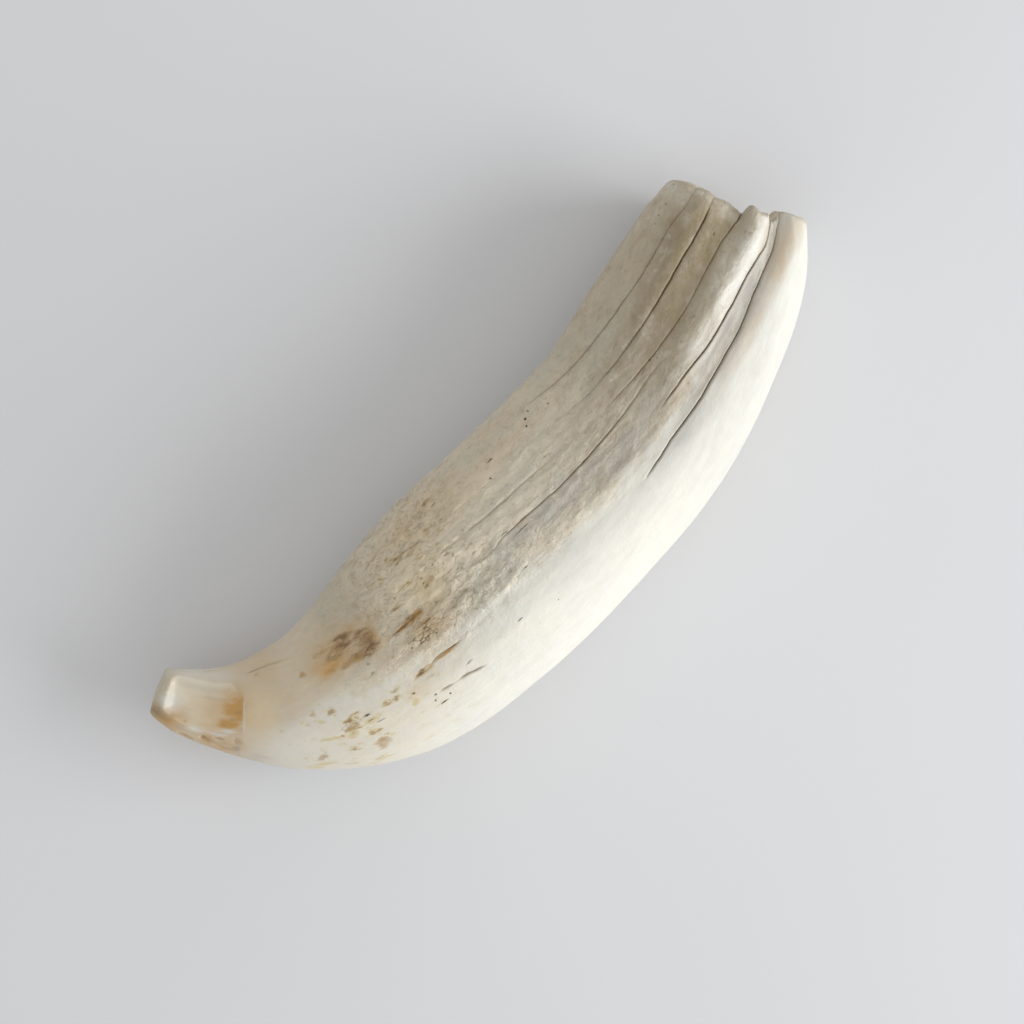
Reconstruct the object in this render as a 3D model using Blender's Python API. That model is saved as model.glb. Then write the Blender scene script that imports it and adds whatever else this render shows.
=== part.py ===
"""A sperm whale tooth, lying on its side: one solid of tooth ivory, worn at the tip and hollow at the root.

Metres, +Z up. +X runs along the chord from the tip to the root, the tooth bows towards -Y, and its underside
rests on z = 0. A place on the tooth is given by its distance along the curved middle line from the tip, and
by its angle round the section: 0 is the inner side of the bow, 90 the top, 180 the outer side, 270 below.
All sizes below are in millimetres and degrees.
"""

import math
from typing import NamedTuple

import bmesh
import bpy
import numpy as np

MM = 0.001

# The middle line: its start, its length, and the way it heads, in degrees from +X, by distance from the tip.
TIP_X, TIP_Y = -86.14, 19.58
LENGTH = 185.0
HEADING = [(0, -59), (20, -40), (40, -19), (60, -2), (80, 2.5), (100, 4.5), (120, 9.5), (140, 20.5), (160, 25),
           (185, 32.5)]
LINE_STEP = 0.25

# Half sizes of the section by distance from the tip: towards the inner side, towards the outer side, and up.
INNER_HALF = [(0, 5.3), (4, 6.3), (9, 7.3), (14, 8.5), (19, 10.1), (24, 12.0), (31, 14.2), (38, 16.7), (52, 21.3),
              (66, 23.8), (79, 24.7), (92, 24.8), (119, 24.3), (134, 23.3), (149, 22.9), (163, 21.6), (170, 20.9),
              (176, 19.9), (181, 18.2), (185, 16.4)]
OUTER_HALF = [(0, 5.5), (4, 7.3), (10, 9.1), (14, 10.1), (19, 11.7), (28, 15.0), (36, 17.5), (44, 20.2), (52, 22.5),
              (62, 24.1), (76, 24.9), (92, 25.2), (106, 24.7), (130, 23.8), (141, 23.4), (151, 22.6), (167, 21.1),
              (175, 19.6), (181, 17.6), (185, 15.8)]
HALF_HEIGHT = [(0, 4.9), (4, 6.2), (10, 7.4), (20, 10.0), (33, 13.6), (47, 16.8), (61, 18.9), (78, 20.0), (95, 20.0),
               (118, 19.2), (137, 18.2), (156, 17.0), (170, 15.8), (178, 14.6), (185, 12.2)]
# The section is a little fuller than an ellipse, and its crest leans to the outer side.
FULLNESS = 2.25
CREST_LEAN = [(0, 0), (30, 1.0), (60, 4.0), (120, 4.5), (150, 2.5), (185, 0)]

# How far the lowest point of the section stands over the table. From the belly to the root it is pressed into
# the table by this little, which leaves a narrow flat to rest on.
TIP_LIFT = [(0, 8.3), (20, 5.2), (33, 2.7), (47, 0.8), (61, -0.2), (78, -0.25), (178, -0.25), (185, -0.2)]


class Swell(NamedTuple):
    """A swell or hollow that runs along the tooth."""

    tip_angle: float
    root_angle: float
    breadth: float
    heights: list[tuple[float, float]]


class Crack(NamedTuple):
    """A drying crack that runs along the tooth, and how many columns of points lie between it and the next."""

    path: list[tuple[float, float]]
    depths: list[tuple[float, float]]
    columns: int


SWELLS = {
    "flat_flank": Swell(54, 48, 22, [(20, 0), (55, -1.1), (120, -1.4), (160, -0.7), (185, -0.3)]),
    "crest": Swell(101, 101, 12, [(30, 0), (60, 0.5), (120, 0.7), (150, 0.2), (165, 0)]),
    "left_valley": Swell(52, 64, 6, [(110, 0), (145, -0.4), (185, -0.8)]),
    "middle_valley": Swell(70, 85, 7, [(120, 0), (150, -0.9), (185, -1.7)]),
    "top_ridge": Swell(84, 108, 7, [(118, 0), (145, 0.9), (165, 1.5), (185, 1.6)]),
    "top_groove": Swell(100, 122.5, 5, [(112, 0), (140, -1.2), (185, -2.1)]),
    "outer_lobe": Swell(140, 142, 13, [(110, 0), (150, 0.7), (185, 1.0)]),
    "outer_hollow": Swell(182, 186, 9, [(100, 0), (150, -0.9), (185, -1.5)]),
    "under_hollow_a": Swell(222, 228, 9, [(70, 0), (140, -1.4), (185, -2.2)]),
    "under_hollow_b": Swell(298, 302, 10, [(60, 0), (130, -1.3), (185, -2.4)]),
    "inner_hollow": Swell(352, 348, 10, [(90, 0), (140, -0.8), (185, -1.5)]),
}

# The cracks in order round the tooth. The last five are on its outer side and underneath.
CRACKS = {
    "inner_crack": Crack([(0, 26), (90, 27), (117, 31.5), (140, 41.5), (160, 49), (185, 56)],
                         [(117, 0), (130, 0.4), (170, 0.5), (184, 0.2)], 3),
    "long_crack": Crack([(0, 46), (90, 49), (117, 55.5), (130, 61), (143, 66), (160, 71), (185, 74)],
                        [(117, 0), (128, 0.6), (150, 1.3), (175, 1.4), (182, 0)], 3),
    "valley_crack": Crack([(0, 62), (90, 67), (130, 75), (149, 83), (160, 87.5), (170, 89), (185, 97)],
                          [(128, 0), (140, 0.5), (160, 1.1), (185, 1.4)], 3),
    "middle_crack": Crack([(0, 78), (60, 80), (90, 81.3), (101, 82.5), (130, 85), (145, 87.5), (165, 98), (185, 107)],
                          [(88, 0), (97, 1.0), (125, 1.3), (146, 0)], 3),
    "ridge_crack": Crack([(0, 100), (90, 92), (137, 98.6), (150, 104), (165, 109.5), (178, 117.5), (185, 119)],
                         [(134, 0), (146, 0.9), (170, 1.6), (185, 1.6)], 3),
    "groove_crack": Crack([(0, 124), (19, 127), (60, 116), (123, 113), (134, 112.3), (147, 115.6), (160, 119),
                           (185, 127.5)], [(122, 0), (130, 0.9), (165, 1.6), (183, 1.2)], 10),
    "outer_crack": Crack([(0, 186), (185, 190)], [(132, 0), (150, 0.7), (185, 1.2)], 6),
    "under_crack_a": Crack([(0, 224), (185, 231)], [(84, 0), (110, 0.9), (170, 1.3), (185, 1.1)], 5),
    "under_crack_b": Crack([(0, 262), (185, 268)], [(140, 0), (160, 0.8), (185, 1.0)], 5),
    "under_crack_c": Crack([(0, 300), (185, 304)], [(98, 0), (125, 1.0), (170, 1.4), (185, 1.2)], 5),
    "edge_crack": Crack([(0, 340), (185, 345)], [(125, 0), (150, 0.8), (185, 1.1)], 8),
}
CRACK_LIP = 0.55

# The rim of the root: how far it stands back from the middle line's end, by angle.
RIM_SETBACK = [(0, 0.5), (20, -0.3), (40, -0.3), (58, 0.2), (78, 1.0), (93, 2.6), (97, 2.8), (103, 1.0), (112, 1.3),
               (121, 1.8), (130, 0.2), (145, -0.3), (160, 0.4), (180, 1.6), (205, 1.2), (228, 3.1), (250, 1.0),
               (285, 1.9), (302, 3.4), (325, 1.4), (360, 0.5)]
RIM_STARTS = 160.0
RIM_EDGE = 0.9

# The pulp cavity: wall thickness at the mouth, and the share of the mouth left at each depth behind the rim.
WALL = 4.3
CAVITY = [(1, 1.0), (5, 0.95), (14, 0.82), (25, 0.62), (36, 0.38), (44, 0.18), (49, 0.0)]
CAVITY_FOLDING = 0.55

# The tip is worn off square, leaning back at the top, with a flake scar along its upper side.
TIP_SLOPE = 2.0
TIP_SLOPE_ENDS = 12.0
TIP_FACE = [(0.0, 0.0), (0.45, 0.0), (0.80, 0.06), (0.93, 0.35), (1.0, 1.0)]
SCAR_END = 20.4
SCAR_DEPTH = 1.25
SCAR_LOW_ANGLE, SCAR_HIGH_ANGLE = 126.0, 62.0
SCAR_FADE = 26.0

# Where the rings of points lie, by distance from the tip. The pair at 20 makes the ledge behind the scar.
RINGS = [1.6, 2.6, 5, 8, 12, 16, 19.9, 20.5, 22, *range(26, 176, 4), 178, 181, 183.2]

IVORY = (0.76, 0.72, 0.62)


def through(knots, at):
    """A smooth curve through knots of (place, value)."""
    places, values = (np.array(part, float) for part in zip(*knots))
    slopes = np.gradient(values, places)
    at = np.clip(at, places[0], places[-1])
    i = np.clip(np.searchsorted(places, at, side="right") - 1, 0, len(places) - 2)
    span = places[i + 1] - places[i]
    t = (at - places[i]) / span
    ends = (2 * t**3 - 3 * t**2 + 1) * values[i] + (3 * t**2 - 2 * t**3) * values[i + 1]
    return ends + span * ((t**3 - 2 * t**2 + t) * slopes[i] + (t**3 - t**2) * slopes[i + 1])


def straight(knots, at):
    """Straight lines through knots of (place, value)."""
    return np.interp(at, *zip(*knots))


def running_total(values):
    """The area under a row of values that are LINE_STEP apart, up to each of them."""
    return np.concatenate([[0], np.cumsum((values[1:] + values[:-1]) / 2) * LINE_STEP])


def middle_line():
    """Distances along the middle line, with its x, y and heading at each."""
    along = np.arange(0, LENGTH + LINE_STEP, LINE_STEP)
    heading = np.radians(through(HEADING, along))
    return along, TIP_X + running_total(np.cos(heading)), TIP_Y + running_total(np.sin(heading)), heading


def ring_angles(along):
    """The angles of one ring's points. Each crack has a point on its line and one on each lip."""
    girth = 2 * math.pi * (through(INNER_HALF, along) + through(HALF_HEIGHT, along)) / 2
    lines = [float(through(crack.path, along)) for crack in CRACKS.values()]
    angles = []
    for crack, line, following in zip(CRACKS.values(), lines, lines[1:] + [lines[0] + 360]):
        gap = following - line
        lip = min(CRACK_LIP / girth * 360, gap / (crack.columns + 1))
        angles += [line, *np.linspace(line + lip, following - lip, crack.columns)]
    return np.array(angles)


def swell_height(along, angle):
    """Height of all the swells and hollows together."""
    total = np.zeros_like(angle)
    for swell in SWELLS.values():
        line = swell.tip_angle + (swell.root_angle - swell.tip_angle) * along / LENGTH
        off_line = (angle - line + 180) % 360 - 180
        total += straight(swell.heights, along) * np.exp(-((off_line / swell.breadth) ** 2))
    return total


def crack_depth(along):
    """Depth at each point of a ring: every crack is a notch in its own column of points."""
    total = []
    for crack in CRACKS.values():
        total += [float(straight(crack.depths, along))] + [0.0] * crack.columns
    return np.array(total)


def scar_depth(along, angle):
    """Depth of the flake scar on top of the tip."""
    across = np.clip((angle - SCAR_HIGH_ANGLE) / SCAR_FADE, 0, 1) * (angle < SCAR_LOW_ANGLE)
    return SCAR_DEPTH * across * (along <= SCAR_END)


def section(along, angle, rise):
    """Points of the section, as distances across the middle line and up from it. rise moves them outwards."""
    cosine, sine = np.cos(np.radians(angle)), np.sin(np.radians(angle))
    half = np.where(cosine > 0, through(INNER_HALF, along), through(OUTER_HALF, along))
    across = half * np.sign(cosine) * np.abs(cosine) ** (2 / FULLNESS)
    up = through(HALF_HEIGHT, along) * np.sign(sine) * np.abs(sine) ** (2 / FULLNESS)
    lean = through(CREST_LEAN, along) * np.clip(sine, 0, 1) ** 2
    return across - lean + rise * cosine, up + rise * sine


def place(line, along, across, up):
    """Points in metres from distances along the middle line, across it and up from it."""
    x, y, heading = (np.interp(along, line[0], part) for part in line[1:])
    height = through(HALF_HEIGHT, along) + through(TIP_LIFT, along) + up
    return np.stack([x - np.sin(heading) * across, y + np.cos(heading) * across, np.maximum(height, 0)], -1) * MM


def tip_setback(angle):
    """How far the worn end leans back: most at the top, nothing below the middle."""
    return TIP_SLOPE * np.clip(np.sin(np.radians(angle)), 0, 1)


def tip_rings(line):
    """Rings over the worn end, from its middle to its edge."""
    angle = ring_angles(0.0)
    across, up = section(0.0, angle, 0.0)
    return [place(line, share * tip_setback(angle) + round_back, across * share, up * share)
            for share, round_back in TIP_FACE]


def outside_rings(line):
    """Rings along the outside, from the tip to the rim."""
    rings = []
    for along in RINGS:
        angle = ring_angles(along)
        near_rim = np.clip((along - RIM_STARTS) / (RINGS[-1] - RIM_STARTS), 0, 1) ** 2
        near_tip = np.clip(1 - along / TIP_SLOPE_ENDS, 0, 1) ** 2
        where = along - through(RIM_SETBACK, angle % 360) * near_rim + tip_setback(angle) * near_tip
        rise = swell_height(along, angle) - crack_depth(along) - scar_depth(along, angle)
        rings.append(place(line, where, *section(along, angle, rise)))
    return rings


def root_rings(line):
    """Rings over the rim and down the pulp cavity to its end."""
    angle = ring_angles(LENGTH)
    folds = swell_height(LENGTH, angle)
    setback = through(RIM_SETBACK, angle % 360)
    rim = LENGTH - setback
    across, up = section(LENGTH, angle, CAVITY_FOLDING * folds - WALL)
    rings = [
        place(line, rim, *section(LENGTH, angle, folds - crack_depth(LENGTH) - RIM_EDGE)),
        place(line, rim, *section(LENGTH, angle, CAVITY_FOLDING * folds - WALL + RIM_EDGE)),
    ]
    for depth, share in CAVITY:
        rings.append(place(line, LENGTH - depth - share * setback, across * share, up * share))
    return rings


def tooth_mesh():
    """The skin of the tooth: a sheet of points wrapped round, welded along its seam and at its two ends."""
    line = middle_line()
    rings = tip_rings(line) + outside_rings(line) + root_rings(line)
    points = np.array([np.concatenate([ring, ring[:1]]) for ring in rings])
    sheet = bmesh.new()
    bmesh.ops.create_grid(sheet, x_segments=points.shape[1] - 1, y_segments=points.shape[0] - 1, size=1)
    for vertex, point in zip(sheet.verts, points.reshape(-1, 3)):
        vertex.co = point
    bmesh.ops.remove_doubles(sheet, verts=sheet.verts, dist=1e-6)
    bmesh.ops.recalc_face_normals(sheet, faces=sheet.faces)
    bmesh.ops.triangulate(sheet, faces=sheet.faces)
    mesh = bpy.data.meshes.new("tooth")
    sheet.to_mesh(mesh)
    sheet.free()
    return mesh


def ivory():
    """Old, dry tooth ivory."""
    material = bpy.data.materials.new("ivory")
    material.use_nodes = True
    shader = material.node_tree.nodes["Principled BSDF"]
    shader.inputs["Base Color"].default_value = (*IVORY, 1)
    shader.inputs["Roughness"].default_value = 0.6
    return material


def main():
    for old in list(bpy.data.objects):
        bpy.data.objects.remove(old)
    mesh = tooth_mesh()
    mesh.materials.append(ivory())
    mesh.shade_smooth()
    tooth = bpy.data.objects.new("tooth", mesh)
    bpy.context.scene.collection.objects.link(tooth)


main()
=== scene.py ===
"""A sperm whale tooth of old ivory, lying on its side on a pale table: its skin, its colours and the studio.

A place on the tooth is given in millimetres along its curved middle line, from the worn tip to the open root,
and either across that line (plus is the inner side of the bow) or by an angle round the section: 0 is the
inner side, 90 the top, 180 the outer side and 270 the underside. Meshes are in metres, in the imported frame.
"""

import logging
import math
from dataclasses import dataclass, replace
from enum import Enum
from functools import reduce

import bmesh
import bpy
import numpy as np
from mathutils import Matrix, Vector, noise


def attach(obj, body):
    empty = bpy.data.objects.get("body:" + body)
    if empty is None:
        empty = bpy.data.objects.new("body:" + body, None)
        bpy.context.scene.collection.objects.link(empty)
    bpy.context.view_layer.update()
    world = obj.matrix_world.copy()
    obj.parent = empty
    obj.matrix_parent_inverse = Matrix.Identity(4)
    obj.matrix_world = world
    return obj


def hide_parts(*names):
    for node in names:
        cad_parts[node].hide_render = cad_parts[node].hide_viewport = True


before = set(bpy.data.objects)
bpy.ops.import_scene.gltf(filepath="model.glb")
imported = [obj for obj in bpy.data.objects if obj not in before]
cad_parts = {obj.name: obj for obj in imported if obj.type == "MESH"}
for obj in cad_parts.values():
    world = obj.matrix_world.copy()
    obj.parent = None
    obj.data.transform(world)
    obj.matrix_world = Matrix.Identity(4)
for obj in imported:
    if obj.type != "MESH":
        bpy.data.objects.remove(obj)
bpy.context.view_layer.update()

LOG = logging.getLogger("tooth")
# A millimetre, and how near to each other points are joined, both in metres.
MM = 0.001
WELD = 1e-6
HALF_DEGREE, HALF_TURN, FULL_TURN = 0.5, 180, 360
LEAST_PACE = 1e-6

# How fast a spot fades away from its middle.
FALL = 0.8
# The top's angle. Marks on the upper side are whole to the widest line, and gone a little below it, both in
# degrees from the top.
TOP = 90
WIDEST = 90
UPPER_ENDS = 126
# How fast the layers of noise fade, how much finer each is than the one before, and the middle of a texture.
NOISE_FADES, NOISE_SPLITS, NOISE_MIDDLE = 1.0, 2.0, 0.5
# How far apart the cracks' bends lie in the noise that bends them.
BEND_STEP = 7.3
# The sockets of a node that mixes colours: the cover, the two colours, and what comes out.
MIX_COVER, MIX_BELOW, MIX_ABOVE, MIX_RESULT = 0, 6, 7, 2

# Knots are places with their values. A band is where a soft stretch begins, is full, falls, and ends.
Pair = tuple[float, float]
Knots = tuple[Pair, ...]
Triple = tuple[float, float, float]
Band = tuple[float, float, float, float]
Array = np.ndarray
Masks = dict[str, Array]
Socket = bpy.types.NodeSocket


class Measure(Enum):
    """How a place round the tooth is given."""

    ACROSS = "millimetres across the middle line, on the upper side"
    ANGLE = "degrees round the section"


class Mark(Enum):
    """The kinds of stain and painted light, each with its colour: white stands mostly for painted highlights,
    ash and olive partly for painted shade.
    """

    BUFF = (0.95, 0.85, 0.66)
    WHITE = (0.84, 0.845, 0.80)
    PALE = (0.78, 0.735, 0.63)
    CREAM = (0.80, 0.67, 0.45)
    TAN = (0.66, 0.495, 0.30)
    AMBER = (0.66, 0.385, 0.125)
    ASH = (0.43, 0.41, 0.38)
    OLIVE = (0.32, 0.255, 0.145)
    YELLOW = (0.72, 0.61, 0.34)
    OCHRE = (0.48, 0.31, 0.125)
    ORANGE = (0.56, 0.31, 0.085)
    BROWN = (0.26, 0.155, 0.075)
    CURL = (0.25, 0.155, 0.07)


class Shade(Enum):
    """The plain colours of the ivory and of the table."""

    CHALK = (0.805, 0.80, 0.74)
    WARM_CHALK = (0.78, 0.75, 0.65)
    DULL_CHALK = (0.668, 0.665, 0.61)
    PLATE = (0.77, 0.685, 0.54)
    COOL_PLATE = (0.68, 0.68, 0.585)
    GREY_PLATE = (0.40, 0.335, 0.235)
    TIP = (0.68, 0.555, 0.39)
    SCAR = (0.90, 0.82, 0.67)
    WORN_END = (0.60, 0.545, 0.41)
    CRACK = (0.07, 0.05, 0.035)
    DIRT = (0.34, 0.26, 0.16)
    PULP = (0.36, 0.29, 0.19)
    TABLE = (0.74, 0.755, 0.785)


def smooth(knots: Knots, at: Array | float) -> Array:
    """A smooth curve through knots of (place, value).

    Args:
        knots: The points to pass through, in rising order of place.
        at: The places to read.

    Returns:
        The value at each place.
    """
    places, values = np.array(knots, float).T
    slopes = np.gradient(values, places)
    at = np.clip(at, places[0], places[-1])
    i = np.clip(np.searchsorted(places, at, side="right") - 1, 0, len(places) - 2)
    span = places[i + 1] - places[i]
    t = (at - places[i]) / span
    ends = (2 * t**3 - 3 * t**2 + 1) * values[i] + (3 * t**2 - 2 * t**3) * values[i + 1]
    return ends + span * ((t**3 - 2 * t**2 + t) * slopes[i] + (t**3 - t**2) * slopes[i + 1])


def linear(knots: Knots, at: Array | float) -> Array:
    """Straight lines through knots of (place, value), read at the given places."""
    return np.interp(at, *np.array(knots, float).T)


def ease(low: float, high: float, value: Array) -> Array:
    """Rises softly from 0 at low to 1 at high, or falls if high is the smaller one."""
    t = np.clip((value - low) / (high - low), 0, 1)
    return t * t * (3 - 2 * t)


def band(edges: Band, value: Array) -> Array:
    """Rises softly from 0 to 1 over the first two edges, and falls again over the last two."""
    return ease(edges[0], edges[1], value) * ease(edges[3], edges[2], value)


def hill(*offs: Array) -> Array:
    """1 in the middle of a spot and less away from it, by distances given in the spot's half sizes."""
    return np.exp(-FALL * sum(off**2 for off in offs))


def past(angle: Array, middle: Array | float) -> Array:
    """How many degrees an angle is past a middle one, from -180 to 180."""
    return (angle - middle + HALF_TURN) % FULL_TURN - HALF_TURN


def upper(angle: Array) -> Array:
    """1 on the upper side, fading out below the widest line on both sides."""
    return ease(UPPER_ENDS, WIDEST, np.abs(past(angle, TOP)))


def mesh_from(sheet: bmesh.types.BMesh, name: str) -> bpy.types.Mesh:
    """Turns a finished sheet into a mesh.

    Args:
        sheet: The sheet, which is freed.
        name: The mesh's name.

    Returns:
        The mesh.
    """
    mesh = bpy.data.meshes.new(name)
    sheet.to_mesh(mesh)
    sheet.free()
    return mesh


def placed(name: str, data: bpy.types.ID) -> bpy.types.Object:
    """Puts an object into the scene.

    Args:
        name: Its name.
        data: Its mesh, light or camera.

    Returns:
        The object, at the origin.
    """
    made = bpy.data.objects.new(name, data)
    bpy.context.scene.collection.objects.link(made)
    return made


@dataclass(frozen=True)
class Grain:
    """Fractal noise: its strength, the size of its largest grains, how many layers it has, and its place."""

    strength: float
    size: Triple
    layers: int
    seed: float

    def at(self, points: Array) -> Array:
        """Reads the noise.

        Args:
            points: Places in millimetres, with x, y and z along the last axis.

        Returns:
            Values round 0, mostly between minus and plus its strength.
        """
        flat = (points / np.array(self.size)).reshape(-1, 3) + self.seed
        values = [noise.fractal(Vector(p), NOISE_FADES, NOISE_SPLITS, self.layers) for p in flat.tolist()]
        return self.strength * np.array(values).reshape(points.shape[:-1])


@dataclass(frozen=True)
class Places:
    """Places on the skin: along the middle line, round the section, across the line and up from it.

    At each place the skin has an outward direction, across and up, and so many millimetres to a degree.
    """

    along: Array
    angle: Array
    across: Array
    up: Array
    normal: Array
    pace: Array

    @property
    def skin(self) -> Array:
        """The places on the straightened tooth, for the noises."""
        return np.stack([self.along, self.across, self.up], -1)


@dataclass(frozen=True)
class MiddleLine:
    """The curved line through the tooth's middle."""

    start: Pair = (-86.14, 19.58)
    length: float = 185.0
    heading: Knots = ((0, -59), (20, -40), (40, -19), (60, -2), (80, 2.5), (100, 4.5), (120, 9.5),
        (140, 20.5), (160, 25), (185, 32.5))
    step: float = 0.25
    lead: float = 4.0
    aside: Knots = ((0, -0.8), (12, -0.7), (25, -0.35), (45, 0), (185, 0))

    def place(self, along: Array, across: Array, height: Array) -> Array:
        """Turns places on the tooth into points.

        Args:
            along: Distances along the line.
            across: Distances across it.
            height: Heights over the table.

        Returns:
            Points in metres, one for each place.
        """
        marks = np.arange(-self.lead, self.length + self.step, self.step)
        heading = np.radians(smooth(self.heading, marks))
        turn = np.interp(along, marks, heading)
        across = across + smooth(self.aside, along)
        x = self.start[0] + self._travel(np.cos(heading), marks, along)
        y = self.start[1] + self._travel(np.sin(heading), marks, along)
        flat = (x - np.sin(turn) * across, y + np.cos(turn) * across)
        return np.stack([*flat, np.maximum(height, 0)], -1) * MM

    def _travel(self, pace: Array, marks: Array, along: Array) -> Array:
        """How far one goes from the line's start to each place, at the pace given for each mark."""
        gone = np.concatenate([[0], np.cumsum((pace[1:] + pace[:-1]) / 2) * self.step])
        return np.interp(along, marks, gone) - np.interp(0.0, marks, gone)


@dataclass(frozen=True)
class Section:
    """The tooth's section at each distance from the tip, before folds and cracks."""

    inner_half: Knots = ((0, 5.3), (4, 6.3), (9, 7.3), (14, 8.5), (19, 10.1), (24, 12), (31, 14.2),
        (38, 16.7), (52, 21.3), (66, 23.8), (79, 24.7), (92, 24.8), (119, 24.3), (134, 23.3), (149, 22.7),
        (156, 22), (163, 21.1), (170, 19.9), (176, 18.7), (181, 17.1), (185, 15.7))
    outer_half: Knots = ((0, 5.5), (4, 7.3), (10, 9.1), (14, 10.1), (19, 11.7), (28, 15), (36, 17.5),
        (44, 20.2), (52, 22.5), (62, 24.1), (76, 24.9), (92, 25.2), (106, 24.7), (130, 23.8), (141, 23.4),
        (151, 22.6), (167, 21.1), (175, 19.6), (181, 17.6), (185, 15.8))
    half_height: Knots = ((0, 4.9), (4, 6.2), (10, 7.4), (20, 10), (33, 13.6), (47, 16.8), (61, 18.9),
        (78, 20), (95, 20), (118, 19.2), (137, 18.2), (156, 17), (170, 15.8), (178, 14.6), (185, 12.2))
    tip_lift: Knots = ((0, 8.3), (20, 5.2), (33, 2.7), (47, 0.8), (61, -0.2), (78, -0.25), (178, -0.25),
        (185, -0.2))
    crest_lean: Knots = ((0, 0), (30, 1), (60, 4), (120, 4.5), (150, 2.5), (185, 0))
    fullness: float = 2.25
    upper_angles: tuple[float, float, int] = (1, 179, 357)

    def point(self, along: Array, angle: Array) -> Array:
        """Points of the section.

        Args:
            along: Distances along the middle line.
            angle: Angles round the section, in degrees.

        Returns:
            Distances across the middle line and up from it, along the last axis.
        """
        cosine, sine = np.cos(np.radians(angle)), np.sin(np.radians(angle))
        half = np.where(cosine > 0, smooth(self.inner_half, along), smooth(self.outer_half, along))
        across = half * np.sign(cosine) * np.abs(cosine) ** (2 / self.fullness)
        up = smooth(self.half_height, along) * np.sign(sine) * np.abs(sine) ** (2 / self.fullness)
        return np.stack([across - smooth(self.crest_lean, along) * np.clip(sine, 0, 1) ** 2, up], -1)

    def angle_at(self, along: Array, across: Array) -> Array:
        """Finds places on the upper side.

        Args:
            along: Distances along the middle line.
            across: Distances across it.

        Returns:
            The angle round the section of each place.
        """
        angles = np.linspace(*self.upper_angles)
        found = []
        for s, v in zip(along, across):
            sides = self.point(np.full_like(angles, s), angles)[:, 0]
            found.append(np.interp(-v, -sides, angles))
        return np.array(found)

    def upper_point(self, along: float, across: float) -> Array:
        """The point of the upper side at one place: across the middle line, and up from it."""
        one = np.array([along])
        return self.point(one, self.angle_at(one, np.array([across])))[0]

    def outward(self, along: Array, angle: Array) -> tuple[Array, Array]:
        """Which way the surface faces.

        Args:
            along: Distances along the middle line.
            angle: Angles round the section.

        Returns:
            The section's outward direction at each place, and its millimetres to a degree.
        """
        edge = self.point(along, angle + HALF_DEGREE) - self.point(along, angle - HALF_DEGREE)
        pace = np.maximum(np.linalg.norm(edge, axis=-1), LEAST_PACE)
        return np.stack([edge[..., 1], -edge[..., 0]], -1) / pace[..., None], pace

    def places(self, along: Array, angle: Array) -> Places:
        """The places on the smooth skin at given distances and angles."""
        across, up = np.moveaxis(self.point(along, angle), -1, 0)
        return Places(along, angle, across, up, *self.outward(along, angle))

    def base_height(self, along: Array) -> Array:
        """The middle line's height over the table."""
        return smooth(self.half_height, along) + smooth(self.tip_lift, along)


@dataclass(frozen=True)
class Crack:
    """A drying crack or crease along the tooth. A tight bundle of mesh columns follows it.

    Where its depth is 0 the line goes on unseen, so that the columns stay in order from tip to root.
    """

    measure: Measure
    path: Knots
    depth: Knots
    dark: Knots
    plate: Knots
    columns: int
    wander: float = 0.12
    bend: Triple = (3.2, 3.2, 3.2)

    def line(self, along: Array, section: Section, seed: float) -> Array:
        """Where the crack runs, with its small bends.

        Args:
            along: Distances from the tip.
            section: The tooth's section.
            seed: Which bends it gets.

        Returns:
            Its angle round the section at each distance.
        """
        where = smooth(self.path, along)
        if self.measure is Measure.ACROSS:
            where = section.angle_at(along, where)
        spots = np.stack([along, np.full_like(along, seed * BEND_STEP), np.zeros_like(along)], -1)
        bends = Grain(self.wander, self.bend, 4, seed).at(spots)
        return where + bends / section.outward(along, where)[1]


@dataclass(frozen=True)
class Swell:
    """A long swell or hollow of the surface. A higher edge power gives it steeper sides."""

    measure: Measure
    path: Knots
    breadth: float
    heights: Knots
    edge: float = 2.0

    def rise(self, at: Places) -> Array:
        """The height that the swell adds.

        Args:
            at: Places on the skin.

        Returns:
            Millimetres outwards at each place.
        """
        middle = smooth(self.path, at.along)
        round_it = self.measure is Measure.ANGLE
        off = past(at.angle, middle) if round_it else at.across - middle
        shown = 1.0 if round_it else upper(at.angle)
        return linear(self.heights, at.along) * shown * np.exp(-np.abs(off / self.breadth) ** self.edge)


@dataclass(frozen=True)
class Zone:
    """A patch with soft edges: its middle, half length and half breadth in millimetres, and strength."""

    along: float
    where: float
    length: float
    breadth: float
    strength: float = 1.0
    measure: Measure = Measure.ACROSS

    def cover(self, at: Places) -> Array:
        """How strongly the patch covers each place.

        Args:
            at: Places on the skin.

        Returns:
            Values from 0 to its strength.
        """
        round_it = self.measure is Measure.ANGLE
        off = past(at.angle, self.where) * at.pace if round_it else at.across - self.where
        shown = 1.0 if round_it else upper(at.angle)
        return self.strength * shown * hill((at.along - self.along) / self.length, off / self.breadth)


Stain = tuple[Mark, Zone]


def stains_of(mark: Mark, *rows: tuple[float, ...], measure: Measure = Measure.ACROSS) -> tuple[Stain, ...]:
    """Stains of one kind, each a row with its middle, half length, half breadth and strength."""
    return tuple((mark, Zone(*row, measure)) for row in rows)


@dataclass(frozen=True)
class Nick:
    """A small dark nick or pore on the upper side: its place, half length, half breadth and darkness."""

    along: float
    across: float
    length: float
    breadth: float
    strength: float

    def centre(self, section: Section) -> Triple:
        """The nick's place on the straightened tooth, in metres."""
        across, up = section.upper_point(self.along, self.across)
        return self.along * MM, float(across) * MM, float(up) * MM


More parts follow.
